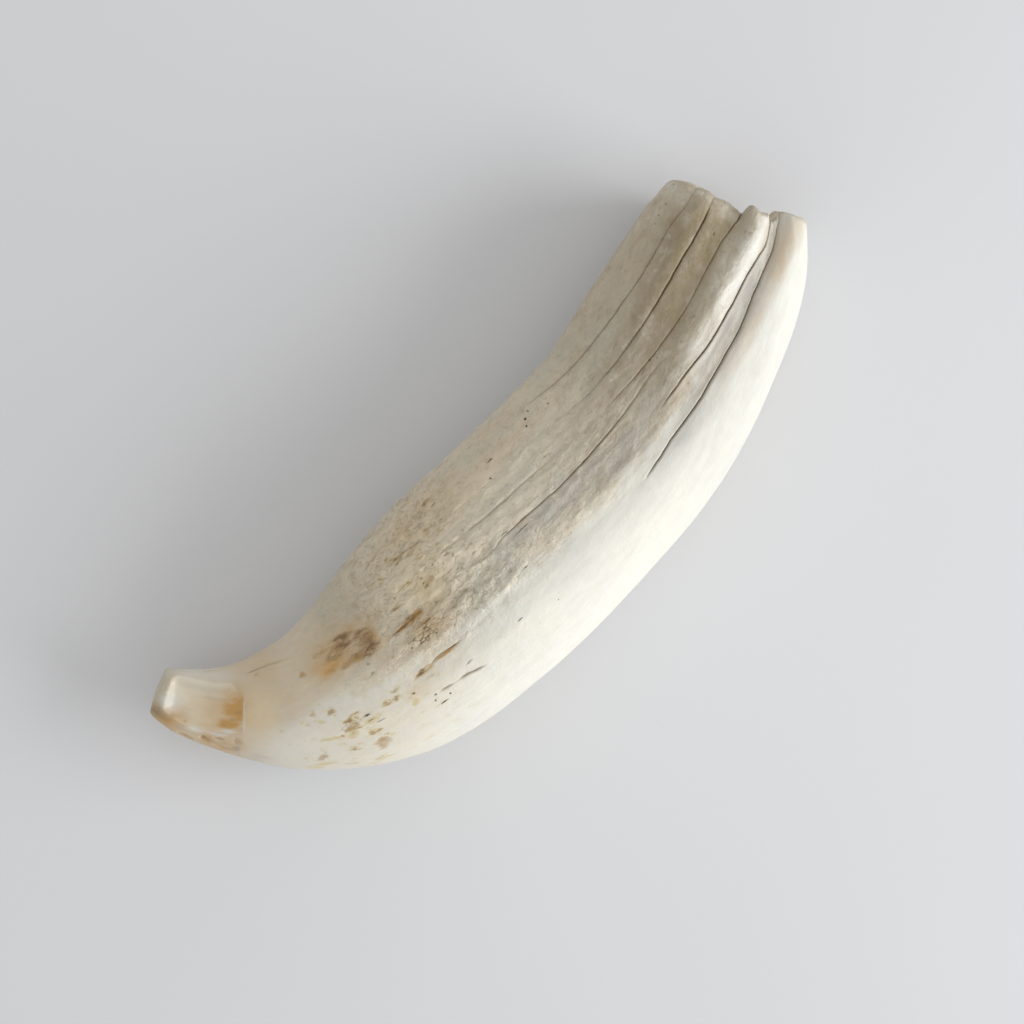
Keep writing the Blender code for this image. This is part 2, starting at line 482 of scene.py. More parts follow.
TOP_CRACKS = (
    Crack(  # the faint crack nearest the inner side
        Measure.ACROSS,
        path=((0, 4.6), (20, 8.6), (40, 14), (64, 19.1), (85, 20.6), (104, 21), (117, 20.5), (123, 19.5),
            (133, 18.1), (147, 16.1), (160, 14.1), (167, 13.4), (174, 12.3), (179, 10.9), (185, 9.6)),
        depth=((62, 0), (64, 0.3), (67, 0), (116, 0), (119, 0.3), (124, 0.5), (150, 0.6), (165, 0.35),
            (183, 0.2), (185, 0)),
        dark=((62, 0), (64, 0.7), (67, 0), (116, 0), (118, 0.4), (124, 0.5), (150, 0.55), (162, 0.35),
            (180, 0.2), (183, 0.1), (185, 0)),
        plate=((60, 0), (118, 0.12), (150, 0.38), (185, 0.5)),
        columns=8,
    ),
    Crack(  # the long crack that grows darker towards the root
        Measure.ACROSS,
        path=((0, 3.2), (10, 5), (21, 7.6), (25, 8.8), (29, 9.5), (33, 9.9), (50, 13.4), (68, 16.6),
            (77, 15.9), (98, 15), (118, 13.7), (131, 11.4), (143, 9.9), (155, 8.5), (166, 7.6), (178, 6.1),
            (185, 5.6)),
        depth=((20, 0), (22, 0.25), (31, 0.2), (34, 0), (67, 0), (69, 0.3), (76, 0.35), (79, 0), (116, 0),
            (126, 0.2), (145, 0.5), (160, 0.9), (178, 1), (182, 0.1), (185, 0)),
        dark=((20, 0), (22, 0.6), (29, 0.5), (34, 0), (67, 0), (69, 0.5), (76, 0.6), (79, 0), (116, 0),
            (124, 0.15), (140, 0.45), (150, 0.65), (160, 0.95), (180, 1), (182, 0)),
        plate=((70, 0), (118, 0.12), (150, 0.25), (185, 0.3)),
        columns=10,
    ),
    Crack(  # the step where the high ridge leans over the plate beside it
        Measure.ACROSS,
        path=((0, 1.7), (20, 4), (46, 8), (60, 10.2), (79, 10.4), (87, 10), (96, 9.4), (103, 9.2),
            (111, 8.6), (120, 7.6), (130, 6.3), (138, 5), (149, 3.1), (157, 2.1), (165, 1.7), (174, 0.9),
            (185, -1.7)),
        depth=((78, 0), (80, 0.45), (85, 0.2), (90, 0.45), (97, 0.5), (104, 0.3), (111, 0), (127, 0),
            (132, 0.35), (146, 0.5), (155, 0.4), (170, 0.45), (179, 0.7), (185, 1.6)),
        dark=((78, 0), (80, 0.45), (85, 0.1), (90, 0.3), (97, 0.35), (104, 0.2), (108, 0.5), (113, 0.4),
            (116, 0), (127, 0), (134, 0.3), (146, 0.45), (155, 0.3), (170, 0.15), (185, 0.1)),
        plate=((100, 0), (185, 0)),
        columns=11,
    ),
    Crack(  # the dark crack along the middle
        Measure.ACROSS,
        path=((0, -0.2), (20, 0.2), (40, 1.6), (59, 3.7), (66, 3.9), (75, 3.9), (83, 3.6), (87, 3),
            (91, 3.6), (96, 3.6), (107, 2.9), (122, 2.8), (131, 2.6), (141, 2.1), (146, 0.9), (155, -0.9),
            (170, -3.2), (185, -4.6)),
        depth=((57, 0), (60, 0.35), (66, 0.35), (68, 0), (82, 0), (84, 0.35), (88, 0.25), (91, 0.4),
            (100, 0.55), (120, 0.6), (130, 0.4), (141, 0.2), (146, 0), (185, 0)),
        dark=((57, 0), (60, 0.3), (66, 0.4), (68, 0), (82, 0), (84, 0.35), (86, 0.1), (91, 0.5), (98, 0.75),
            (104, 0.6), (112, 0.8), (122, 0.8), (132, 0.5), (142, 0.2), (148, 0)),
        plate=((50, 0), (185, 0)),
        columns=13,
    ),
    Crack(  # the deep groove's near side, and towards the tip the ochre-edged crack and the scar's side
        Measure.ACROSS,
        path=((0, -1.2), (2.4, -2.8), (8, -5.3), (12, -6.3), (16, -6), (20, -5.5), (26, -6.4), (36, -7.5),
            (45, -7.8), (58, -6.6), (61.3, -6.5), (62.6, -6.1), (69, -6.4), (85, -4.8), (110, -3.8),
            (137, -3.5), (144, -4.3), (150, -5.5), (160, -6.5), (170, -7.3), (174, -8), (178, -8.9),
            (185, -8.3)),
        depth=((43.5, 0), (45, 0.3), (46.5, 0), (56.8, 0), (58, 0.25), (60.5, 0.3), (61.8, 0.1),
            (62.8, 0.45), (68.2, 0.6), (70, 0), (134, 0), (139, 0.7), (150, 1.3), (165, 1.9), (185, 2)),
        dark=((44.4, 0), (45.2, 0.9), (46, 0.7), (46.5, 0), (56.8, 0), (57.8, 0.35), (61, 0.2),
            (61.8, 0.05), (62.6, 0.45), (65, 0.4), (66, 0.8), (68.2, 0.85), (70, 0), (134, 0), (139, 0.7),
            (150, 0.9), (170, 1), (183, 0.8), (185, 0.4)),
        plate=((40, 0), (130, 0), (150, -0.1), (185, -0.2)),
        columns=13,
    ),
    Crack(  # the far side of the deep groove
        Measure.ACROSS,
        path=((0, -3.6), (10, -7.8), (20, -9.9), (45, -13), (60, -12), (62, -12.3), (65.5, -12.7),
            (70, -13.8), (85, -12.6), (110, -10.6), (123, -9.4), (130, -8.9), (139, -9.5), (147, -9.9),
            (156, -10.5), (170, -10.5), (178, -11), (185, -10.4)),
        depth=((59.8, 0), (60.6, 0.5), (62.2, 0.4), (62.9, 0.1), (64.2, 0.1), (65, 0.5), (69, 0.55),
            (70.5, 0), (121, 0), (124, 0.9), (135, 1.3), (165, 1.9), (181, 1.7), (185, 0.9)),
        dark=((59.8, 0), (60.5, 0.9), (62, 0.8), (62.6, 0.1), (63.4, 0.2), (64, 0.4), (65, 0.5), (65.6, 1),
            (69, 1), (70.2, 0), (121, 0), (124, 0.8), (150, 0.9), (165, 1), (180, 1), (183, 0.3)),
        plate=((100, 0), (125, 0.2), (150, 0.6), (185, 0.9)),
        columns=46,
    ),
)

# Those on the sides and underneath, which the photograph doesn't show.
HIDDEN_CRACKS = (
    Crack(Measure.ANGLE, ((0, 186), (90, 187), (185, 190)), depth=((128, 0), (150, 0.8), (185, 1.3)),
        dark=((128, 0), (150, 0.5), (185, 0.7)), plate=((60, 0), (185, 0.5)), columns=14),
    Crack(Measure.ANGLE, ((0, 224), (60, 221), (120, 229), (185, 231)), depth=((82, 0), (110, 1),
        (170, 1.4), (185, 1.2)), dark=((82, 0), (96, 0.7), (170, 0.9), (185, 0.5)), plate=((60, 0),
        (185, 0.6)), columns=15),
    Crack(Measure.ANGLE, ((0, 262), (100, 266), (185, 268)), depth=((138, 0), (160, 0.8), (185, 1)),
        dark=((138, 0), (150, 0.6), (185, 0.5)), plate=((60, 0), (185, 0.3)), columns=15),
    Crack(Measure.ANGLE, ((0, 300), (80, 297), (130, 303), (185, 304)), depth=((96, 0), (125, 1.1),
        (170, 1.5), (185, 1.3)), dark=((96, 0), (110, 0.8), (170, 1), (185, 0.6)), plate=((60, 0),
        (185, 0.5)), columns=16),
    Crack(Measure.ANGLE, ((0, 340), (70, 338), (185, 345)), depth=((122, 0), (150, 0.9), (185, 1.2)),
        dark=((122, 0), (140, 0.6), (185, 0.6)), plate=((60, 0), (185, 0.5)), columns=34),
)

SWELLS = (
    Swell(Measure.ANGLE, ((0, 54), (185, 48)), 22, ((20, 0), (55, -1.1), (120, -1.4), (160, -0.7),
        (185, -0.3))),
    Swell(Measure.ANGLE, ((0, 101), (185, 101)), 12, ((30, 0), (60, 0.5), (120, 0.7), (150, 0.2),
        (165, 0))),
    # The high ridge towards the root, the valley on one side of it and the floor of the groove on the other.
    Swell(Measure.ACROSS, ((128, 0.4), (140, -0.4), (147, -1.2), (156, -1.8), (165, -3), (175, -4.7),
        (185, -5.6)), 3.7, ((136, 0), (148, 0.75), (165, 1.3), (185, 1.6)), 2.1),
    Swell(Measure.ACROSS, ((130, 7.6), (149, 4.6), (165, 3), (185, 0.6)), 3.4, ((122, 0), (148, -0.7),
        (165, -1.2), (185, -1.6))),
    Swell(Measure.ACROSS, ((128, -6), (139, -6.6), (150, -8), (165, -8.7), (185, -9.4)), 2.3, ((122, 0),
        (140, -0.7), (160, -1.2), (185, -1.5)), 4),
    # A second, weaker crest on the side of the ridge, and fluting on the broad outer lobe.
    Swell(Measure.ACROSS, ((140, -1.2), (157, -2.4), (165, -4), (185, -6.4)), 1.6, ((140, 0), (156, 0.25),
        (178, 0.3), (185, 0))),
    Swell(Measure.ACROSS, ((140, -14.5), (185, -14)), 1.6, ((138, 0), (158, 0.25), (180, 0.5), (185, 0.4))),
    # Right of the middle crack the skin is flat up to a low edge that the light catches.
    Swell(Measure.ACROSS, ((80, -3.6), (105, -4.2), (118, -5.2), (135, -5.4), (150, -4.8)), 2.2, ((90, 0),
        (110, 0.14), (130, 0.27), (142, 0.12), (150, 0)), 2.4),
    # Low folds left of it, and the thin double ridge between them.
    Swell(Measure.ACROSS, ((75, 8.4), (90, 7.4), (120, 5)), 2.1, ((70, 0), (82, 0.3), (105, 0.35),
        (120, 0))),
    Swell(Measure.ACROSS, ((78, 11.2), (88, 10.8), (97, 10.2), (111, 9.4)), 0.55, ((77, 0), (80, 0.35),
        (88, 0.25), (93, 0.4), (104, 0.35), (113, 0))),
    Swell(Measure.ACROSS, ((84, 8.8), (100, 8)), 0.6, ((83, 0), (87, 0.25), (94, 0.3), (101, 0))),
    Swell(Measure.ACROSS, ((70, 13.5), (115, 12)), 2.4, ((68, 0), (80, 0.3), (105, 0.25), (118, 0))),
    Swell(Measure.ANGLE, ((0, 140), (185, 142)), 13, ((110, 0), (150, 0.7), (185, 1))),
    Swell(Measure.ANGLE, ((0, 182), (185, 186)), 9, ((100, 0), (150, -0.9), (185, -1.5))),
    Swell(Measure.ANGLE, ((0, 222), (185, 228)), 9, ((70, 0), (140, -1.4), (185, -2.2))),
    Swell(Measure.ANGLE, ((0, 298), (185, 302)), 10, ((60, 0), (130, -1.3), (185, -2.4))),
    Swell(Measure.ANGLE, ((0, 352), (185, 348)), 10, ((90, 0), (140, -0.8), (185, -1.5))),
)

STAINS_AND_PAINTED_LIGHT = (
    # The brown and ochre patch behind the tip.
    *stains_of(Mark.TAN, (46.8, 8.2, 9, 4.4, 1), (40.5, 6, 4.5, 3.4, 0.8), (51, 4.2, 5.5, 2, 0.9)),
    *stains_of(Mark.AMBER, (42.8, 5.2, 3.4, 1.9, 1), (55.4, 6.6, 1.4, 2.4, 0.75), (48, 9.6, 5, 1.3, 0.5)),
    *stains_of(Mark.OCHRE, (35.6, 5.7, 1.3, 0.8, 0.8), (40.6, 8.5, 2, 1, 0.8), (42.8, 4.7, 2.2, 1.2, 0.6),
        (44.2, 6.2, 2.8, 1.8, 0.7), (47, 7.6, 5, 2.3, 0.62), (49.5, 4.5, 4.4, 1.2, 0.9),
        (53.3, 6.1, 3, 3.4, 0.8)),
    *stains_of(Mark.BROWN, (47.2, 8.2, 2.6, 0.9, 1), (47.8, 9.9, 3.2, 0.8, 0.9), (44.2, 7, 1.6, 0.8, 0.8),
        (50, 4.9, 1.3, 0.7, 0.7), (53.4, 4.8, 2, 1.4, 1), (53, 8, 2.2, 1.2, 0.95)),
    *stains_of(Mark.ORANGE, (56.4, 5.6, 0.9, 1.5, 0.6)),
    *stains_of(Mark.CURL, (48, 7.5, 6, 3.4, 0.45)),
    # The orange streak, the curls beside it and the blotch behind it.
    *stains_of(Mark.ORANGE, (62, 3.7, 2.4, 0.45, 0.8), (65.6, 3.9, 2.3, 1.2, 0.85)),
    *stains_of(Mark.BROWN, (61.2, 3.5, 1.8, 0.3, 1), (64.4, 4.6, 1.6, 0.5, 0.55)),
    *stains_of(Mark.OCHRE, (64.8, 3.9, 3.6, 1.3, 0.6), (63.8, 8.1, 2, 0.9, 0.7),
        (66, 0.9, 3.8, 2.3, 0.55)),
    *stains_of(Mark.CURL, (64.8, 4.1, 3.2, 1.1, 0.7), (65.2, -0.2, 3.6, 2.1, 0.85),
        (71.5, -0.8, 4, 1.4, 0.5)),
    *stains_of(Mark.YELLOW, (69.5, 7, 4, 1.6, 0.5)),
    *stains_of(Mark.TAN, (66.8, 0.4, 5, 3, 0.7)),
    # Small stains towards the outer side.
    *stains_of(Mark.OCHRE, (39, -4.2, 0.9, 0.8, 0.9), (41.9, -8.9, 1.3, 1.2, 0.8),
        (45.6, -14.9, 1.8, 1.3, 0.8), (55.6, -8.9, 0.7, 0.6, 0.8), (59, -6.4, 1.8, 0.4, 0.9),
        (35.1, -12.4, 0.8, 0.5, 0.6)),
    *stains_of(Mark.YELLOW, (36.6, -5.6, 1.6, 0.6, 0.8), (31.9, -4.9, 1, 0.6, 0.7),
        (41.6, -10.4, 1.7, 1, 0.7), (37.4, -9.9, 2.8, 0.7, 0.9), (46.2, -9, 2.2, 0.9, 0.8),
        (54.7, -10.7, 1, 0.8, 0.8), (58.4, -12.4, 1, 1.2, 0.6), (50, -6.9, 1.2, 0.5, 0.7),
        (59.6, -6.5, 3.4, 1, 0.75), (66, -6.6, 4, 1, 0.5), (66, -13.2, 4, 0.5, 0.4),
        (34.4, -14.9, 4, 0.8, 0.8), (44.6, -18.6, 4, 0.7, 0.6), (36, -17, 12, 1.4, 0.4),
        (57, -19, 14, 2.6, 0.35)),
    *stains_of(Mark.CURL, (41.4, -8.2, 1.3, 1, 0.8)),
    *stains_of(Mark.CREAM, (57, -9, 3, 1.8, 0.6)),
    *stains_of(Mark.BROWN, (59, -6.4, 1.8, 0.25, 0.9)),
    *stains_of(Mark.ORANGE, (61, -6.2, 1.2, 0.4, 1), (65.6, -6.5, 3.4, 0.4, 1)),
    # Broad tints: tan on the inner side, paler over the middle, greyer beside it.
    *stains_of(Mark.TAN, (79, 19, 13, 4.5, 0.7), (84, 17.5, 5, 3.4, 0.75), (89, 20.5, 7, 3, 0.7),
        (83, 19.5, 5, 3, 0.7), (104, 19.5, 12, 3.5, 0.45), (26, 7.5, 6, 3.5, 0.45), (31, 0, 4, 4, 0.25)),
    *stains_of(Mark.BUFF, (74, 11, 10, 6.5, 1.2), (63, 10.5, 5, 4.5, 0.6), (47, -10.5, 14, 8, 0.55),
        (40, -18, 14, 5, 0.45)),
    *stains_of(Mark.CREAM, (72, 7.5, 6.5, 5.5, 0.8), (67, 0.8, 6, 3.4, 0.6), (95, 14.5, 6, 4, 0.3),
        (66, -5, 7, 4, 0.35), (24, -1.5, 3.6, 5, 0.9)),
    *stains_of(Mark.YELLOW, (76, 13, 7, 3.2, 0.4), (70, 8.5, 4, 2.4, 0.5)),
    *stains_of(Mark.OCHRE, (84.3, 21.3, 2, 0.6, 0.7), (74.3, 15.3, 2, 0.6, 0.75),
        (71, 16.2, 2.4, 0.8, 0.6), (79.3, 12.6, 0.8, 1, 0.5)),
    *stains_of(Mark.BROWN, (83.6, 21.2, 0.9, 0.4, 0.7), (70.3, 15.8, 1.6, 0.4, 0.8)),
    *stains_of(Mark.PALE, (97, 11, 18, 5, 0.85), (38, -15, 12, 4, 0.5), (182.5, 13, 3, 4, 0.6)),
    *stains_of(Mark.ASH, (106, 0.6, 19, 2.4, 0.75), (84, 1.7, 9, 1.8, 0.28), (88, -1.6, 6, 1.6, 0.4),
        (129, -1.9, 14, 3.2, 0.65), (132, 9, 14, 4, 0.12)),
    *stains_of(Mark.OLIVE, (77, -1, 10, 3, 0.15), (75, 1.8, 6, 2, 0.12)),
    # Olive dirt in the valleys at the root, which also paints the shadow that a crack's higher side casts on
    # the plate beside it; tan beside the groove.
    *stains_of(Mark.OLIVE, (158, 3.3, 9, 1.8, 0.55), (172, 2.9, 9, 2.3, 0.9), (179.5, 0.6, 4, 2, 0.85),
        (167, 8.9, 9, 1.5, 0.95), (174.5, 7.9, 6, 1.3, 0.9), (174.5, 6.5, 6, 2.2, 0.6),
        (178.5, 3.4, 1.6, 1.3, 0.9), (180, 8.4, 1.5, 0.9, 0.6), (164, 15.5, 10, 3, 0.28),
        (154, 9.4, 8, 1.1, 0.45), (175.9, 3.1, 1.3, 0.8, 0.7), (180.2, -4.6, 2, 1.2, 0.6),
        (159, -7, 7, 0.7, 0.6)),
    *stains_of(Mark.PALE, (182.4, 1.4, 1.8, 2.4, 1), (184, 9, 1.3, 6.5, 0.75), (181, -13, 5, 2.5, 0.6),
        (169, -0.9, 12, 1.7, 0.6), (177, -4.6, 6, 2.4, 0.7)),
    *stains_of(Mark.YELLOW, (184.2, 12.5, 1, 3.4, 0.5)),
    *stains_of(Mark.TAN, (176, -12.4, 11, 1.3, 0.7), (158, -12.2, 11, 1.2, 0.6),
        (174, -8.4, 6, 0.7, 0.35)),
    *stains_of(Mark.OCHRE, (173.2, -12.6, 1.2, 0.4, 0.3), (177.2, -4.2, 0.7, 0.5, 0.55)),
    *stains_of(Mark.CURL, (179, -4.4, 2.8, 1.4, 0.5)),
    # Painted shade in ash grey: along the groove beside the ridge, on the strip inside it and beside its far
    # crack.
    *stains_of(Mark.ASH, (160, -7.6, 17, 1.5, 0.95), (172, -9.2, 10, 1.2, 0.75),
        (148, -5.8, 7, 1.1, 0.95), (169, -8.4, 9, 1.2, 1.1), (126, -3.4, 14, 2.6, 0.55),
        (135, -10.2, 14, 1.3, 0.75), (157, -11.6, 24, 1.2, 0.6)),
    # Painted highlight in white along the lit side of the high ridge.
    *stains_of(Mark.WHITE, (151, -3.4, 8, 1.2, 0.5), (163, -4.3, 8, 1.4, 0.55),
        (176, -5.8, 8, 1.6, 0.45)),
    # The tip: brown against the scar's ledge, olive round its low corner, peach along the chipped edge.
    *stains_of(Mark.CREAM, (12.5, -1.5, 5, 4.2, 0.75), (8.2, -8, 2.6, 1, 0.9)),
    *stains_of(Mark.AMBER, (18.2, -0.4, 3.2, 4.4, 1.25), (16.6, -2.4, 5.6, 5.4, 0.6),
        (19.2, -0.4, 1.8, 2.6, 2), (16.8, -3.7, 2.6, 1.3, 2), (3.2, -4.6, 3.8, 2.4, 1.3),
        (12.6, -7.7, 1.3, 1.1, 0.8)),
    *stains_of(Mark.OCHRE, (19.2, -0.9, 1.2, 0.9, 0.75), (15.8, -4, 1.3, 0.7, 0.7),
        (17.8, -2.7, 1.2, 0.5, 0.55), (24, 7.6, 2.6, 1.6, 0.45)),
    # Painted reflection in white on the steep face behind the worn end, and painted glints on the chipped
    # edges below the scar; paler streaks on the side towards the bow.
    *stains_of(Mark.WHITE, (17, -5.2, 1.3, 0.5, 1), (3.2, -1, 1.9, 2, 1), (9.6, -5.8, 2, 0.6, 0.7),
        (14.6, -6.1, 2.4, 0.25, 0.9), (7.5, 6.4, 8, 1.5, 0.5)),
    *stains_of(Mark.TAN, (13.6, -7.2, 2, 0.9, 0.7), (15.6, -9.2, 4.4, 2.2, 1)),
    *stains_of(Mark.PALE, (10.5, 6.4, 9, 2.4, 0.95)),
    *stains_of(Mark.ASH, (10, 3.4, 5, 0.7, 0.3), (13, 1.6, 4, 0.4, 0.25), (19, -9.2, 0.3, 1.4, 0.6),
        (22.5, -11.4, 2.2, 1, 0.3)),
    *stains_of(Mark.OLIVE, (1.6, -4.1, 2.6, 1.8, 0.85), (4.4, -4, 2.6, 1.2, 0.55),
        (7.4, -5.6, 1.8, 0.7, 0.5)),
    *stains_of(Mark.BROWN, (0.4, -4.2, 1.6, 1.6, 0.5), (12.3, -7.4, 0.9, 0.6, 0.4)),
    # The sides that the photograph doesn't show.
    *stains_of(Mark.TAN, (70, 330, 22, 7, 0.5), (110, 275, 26, 8, 0.4),
        (158, 196, 14, 2, 0.4), measure=Measure.ANGLE),
    *stains_of(Mark.OCHRE, (52, 318, 5, 3, 0.8), (61, 350, 4, 1.4, 0.6), (43, 250, 3, 2, 0.7),
        (71, 200, 2.2, 1, 0.65), measure=Measure.ANGLE),
    *stains_of(Mark.BROWN, (50, 314, 2.4, 1.6, 0.8), measure=Measure.ANGLE),
    *stains_of(Mark.YELLOW, (48, 236, 9, 2.4, 0.6), (93, 188, 5, 0.9, 0.6),
        (124, 197, 3, 0.8, 0.6), measure=Measure.ANGLE),
    *stains_of(Mark.OLIVE, (168, 296, 12, 2.4, 0.5), (170, 225, 11, 2.2, 0.45), measure=Measure.ANGLE),
    *stains_of(Mark.CREAM, (66, 196, 26, 6, 0.55), (136, 204, 30, 5, 0.5), measure=Measure.ANGLE),
    *stains_of(Mark.ASH, (112, 190, 20, 2, 0.25), (80, 214, 16, 3, 0.3), measure=Measure.ANGLE),
)

NICKS = tuple(Nick(*row) for row in (
    (55.5, -9, 0.4, 0.3, 0.7), (58.7, -11.9, 0.4, 0.3, 0.7), (58, -13, 0.4, 0.3, 0.7),
    (61.1, -13.7, 0.3, 0.3, 0.9), (59.3, -14.4, 1.2, 0.16, 1), (45.6, -9.2, 0.9, 0.2, 0.4),
    (47.4, -10.2, 1.4, 0.2, 0.5), (45.5, -7.9, 0.8, 0.18, 0.9), (68.2, -11.1, 1.3, 0.2, 0.5),
    (101, 18.1, 1.1, 0.2, 0.8), (98.3, 15.3, 0.3, 0.3, 0.9), (85, 19.6, 1.2, 0.25, 0.5),
    (113.8, 18.9, 0.4, 0.3, 1), (112.7, 17.7, 0.35, 0.35, 1), (115.7, 19.6, 0.3, 0.25, 0.9),
    (120.2, 17.5, 0.35, 0.3, 0.7), (142.6, 4.1, 0.35, 0.3, 0.8), (95.4, 2.1, 3, 0.14, 0.8),
    (92, 4, 1.6, 0.13, 0.7), (84.8, 3, 1.8, 0.14, 0.4), (110.4, 10, 0.9, 0.16, 0.5),
    (90.5, -4.4, 0.7, 0.2, 0.6), (82, -11.6, 0.9, 0.2, 0.7), (90.7, -14.1, 0.3, 0.25, 0.5),
    (50.5, -0.5, 0.6, 0.5, 0.4), (50.8, 1.7, 0.6, 0.5, 0.35), (183.2, 14.3, 0.5, 0.3, 0.4),
    (177.6, 14.9, 0.6, 0.3, 0.45), (174.5, 15.5, 0.4, 0.3, 0.45), (172.1, 15.6, 0.3, 0.25, 0.4),
    (139.7, 4.1, 1.6, 0.15, 0.5), (137.1, 4.7, 0.9, 0.15, 0.4), (175.9, 3.1, 0.7, 0.4, 0.5),
    (12, -6.9, 0.6, 0.16, 0.5), (7.6, -4.5, 0.55, 0.35, 0.28), (62.3, 0.2, 0.8, 0.18, 0.6),
    (63.2, -1.5, 0.9, 0.2, 0.55), (65.8, -0.3, 0.9, 0.16, 0.5), (66.9, -2, 0.6, 0.2, 0.55),
    (60.8, -1, 0.5, 0.25, 0.6), (67.6, 1.4, 0.8, 0.16, 0.6), (71, -3.2, 0.5, 0.25, 0.5),
))


@dataclass(frozen=True)
class Regions:
    """The broad regions: chalk white on the outer side, and scaly or greyish plates on the inner side."""

    chalk_edge: Knots = ((0, 1.5), (30, 0.5), (39, -0.2), (56, -2), (67, -2.6), (76, -3.4), (88, -4),
        (100, -4.6), (108, -4.8), (115, -5.3), (122, -5.8), (130, -6), (140, -6), (146, -5.8), (150, -4.9),
        (155, -4.4), (160, -3.8), (165, -3.4), (170, -3.3), (185, -4.2))
    chalk_blur: Knots = ((0, 3), (60, 2.6), (100, 2.2), (115, 1.7), (130, 1.3), (145, 1.2), (150, 2.2),
        (185, 2.6))
    chalk_fray: Knots = ((0, 2.2), (100, 2), (120, 1.2), (150, 1), (185, 1.6))
    fray: Grain = Grain(1.0, (11, 3.4, 3.4), 4, 52.0)
    # The chalk's edge is partly sharp and partly gradual, and below it ends at an angle. The groove has less.
    sharp_share: float = 0.65
    sharp_edge: Pair = (-1, 1.2)
    gradual_edge: Pair = (0.4, 5.5)
    below_edge: Pair = (276, 232)
    below_fray: Grain = Grain(14.0, (22, 9, 9), 3, 57.0)
    groove_across: Band = (-11.3, -10.2, -8.0, -6.0)
    groove_along: Pair = (128, 150)
    groove_loss: float = 0.45
    # How scaly the skin is, how far chalk smooths it, and the ridge at the root, which is scaly again.
    scales: Knots = ((22, 0), (50, 0.4), (60, 1.1), (68, 1.45), (82, 1.4), (90, 0.75), (108, 0.65),
        (128, 0.5), (160, 0.3), (185, 0.4))
    chalk_smooths: float = 0.92
    ridge_across: Band = (-8, -6, 0, 2)
    ridge_along: Pair = (140, 155)
    ridge_scales: float = 0.36
    # Grey grows towards the root and the middle, with a shady patch nearer the tip. Chalk is duller towards
    # the root and below.
    grey_along: Pair = (90, 160)
    grey_across: Pair = (15.5, 11)
    grey_least: float = 0.6
    shady: Zone = Zone(51, 14, 13, 11, 0.45)
    dull_along: Pair = (85, 145)
    dull_below: Pair = (168, 205)
    porous: Zone = Zone(77, -2.5, 17, 4.5)
    spotty: tuple[Zone, Zone] = (Zone(45, -9, 12, 7, 0.9), Zone(72, 12, 13, 8, 0.75))

    def chalk(self, at: Places) -> Array:
        """Where the skin is chalk white.

        Args:
            at: Places on the skin, with angles from 0 to 360.

        Returns:
            Values from 0 to 1.
        """
        fray = linear(self.chalk_fray, at.along) * self.fray.at(at.skin)
        inside = smooth(self.chalk_edge, at.along) - at.across + fray
        sharp = ease(*self.sharp_edge, inside / linear(self.chalk_blur, at.along))
        above = self.sharp_share * sharp + (1 - self.sharp_share) * ease(*self.gradual_edge, inside)
        below = ease(*self.below_edge, at.angle + self.below_fray.at(at.skin))
        groove = band(self.groove_across, at.across) * ease(*self.groove_along, at.along)
        return np.where(at.angle < HALF_TURN, above * (1 - self.groove_loss * groove), below)

    def masks(self, at: Places) -> Masks:
        """How far each place belongs to each region.

        Args:
            at: Places on the skin.

        Returns:
            One mask for each region, by its name.
        """
        at = replace(at, angle=at.angle % FULL_TURN)
        chalk = self.chalk(at)
        ridge = self.ridge_scales * band(self.ridge_across, at.across) * ease(*self.ridge_along, at.along)
        inner = self.grey_least + (1 - self.grey_least) * ease(*self.grey_across, at.across)
        grey = np.maximum(ease(*self.grey_along, at.along) * inner, self.shady.cover(at))
        return {
            "chalk": chalk,
            "scaly": np.maximum((1 - self.chalk_smooths * chalk) * linear(self.scales, at.along), ridge),
            "grey": (1 - chalk) * grey,
            "dull": chalk * np.maximum(ease(*self.dull_along, at.along), ease(*self.dull_below, at.angle)),
            "porous": self.porous.cover(at),
            "spotty": np.maximum(*(zone.cover(at) for zone in self.spotty)),
        }


@dataclass(frozen=True)
class Relief:
    """The small relief: lumps everywhere, and layered scales, folds, bumps and pits where it is scaly."""

    body: Pair = (20.5, 34)
    tip_share: float = 0.1
    lumps: Grain = Grain(0.24, (24, 8, 8), 3, 3.1)
    layers: Grain = Grain(2.2, (8, 3, 3), 4, 11.7)
    layer_height: float = 0.15
    layer_slope: float = 0.24
    folds: Grain = Grain(1.0, (9, 3.4, 3.4), 4, 23.9)
    fold_height: float = 0.28
    fold_half: float = 0.24
    fold_level: float = 0.4
    bumps: Grain = Grain(0.26, (3.6, 2.2, 2.2), 4, 27.0)
    pits: Grain = Grain(1.0, (2.6, 1.5, 1.5), 2, 31.3)
    pit_edge: Pair = (0.34, 0.7)
    pit_depth: float = 0.25
    pitted: Band = (50, 62, 84, 104)
    fine: Grain = Grain(0.04, (2.4, 1.4, 1.4), 2, 41.0)

    def rise(self, at: Places, scaly: Array) -> Array:
        """The height that the relief adds.

        Args:
            at: Places on the skin.
            scaly: How scaly each place is.

        Returns:
            Millimetres outwards at each place.
        """
        skin, body = at.skin, ease(*self.body, at.along)
        lumps, layers = self.lumps.at(skin), self.layers.at(skin)
        whole = np.floor(layers)
        scales = self.layer_height * (whole + ease(0, self.layer_slope, layers - whole))
        folds = self.fold_height * (ease(self.fold_half, 0, np.abs(self.folds.at(skin))) - self.fold_level)
        pits = self.pit_depth * ease(*self.pit_edge, self.pits.at(skin)) * band(self.pitted, at.along)
        plates = (scales + folds + self.bumps.at(skin) - pits) * scaly
        return body * (lumps + plates + self.fine.at(skin)) + (1 - body) * self.tip_share * lumps


@dataclass(frozen=True)
class Facet:
    """One flat face of the flake scar: a point on it, and how much it climbs with each millimetre."""

    along: float
    across: float
    up: float
    climb_along: float
    climb_across: float

    def height(self, along: Array, across: Array) -> Array:
        """The height of its plane over the middle line."""
        return self.up + self.climb_along * (along - self.along) + self.climb_across * (across - self.across)


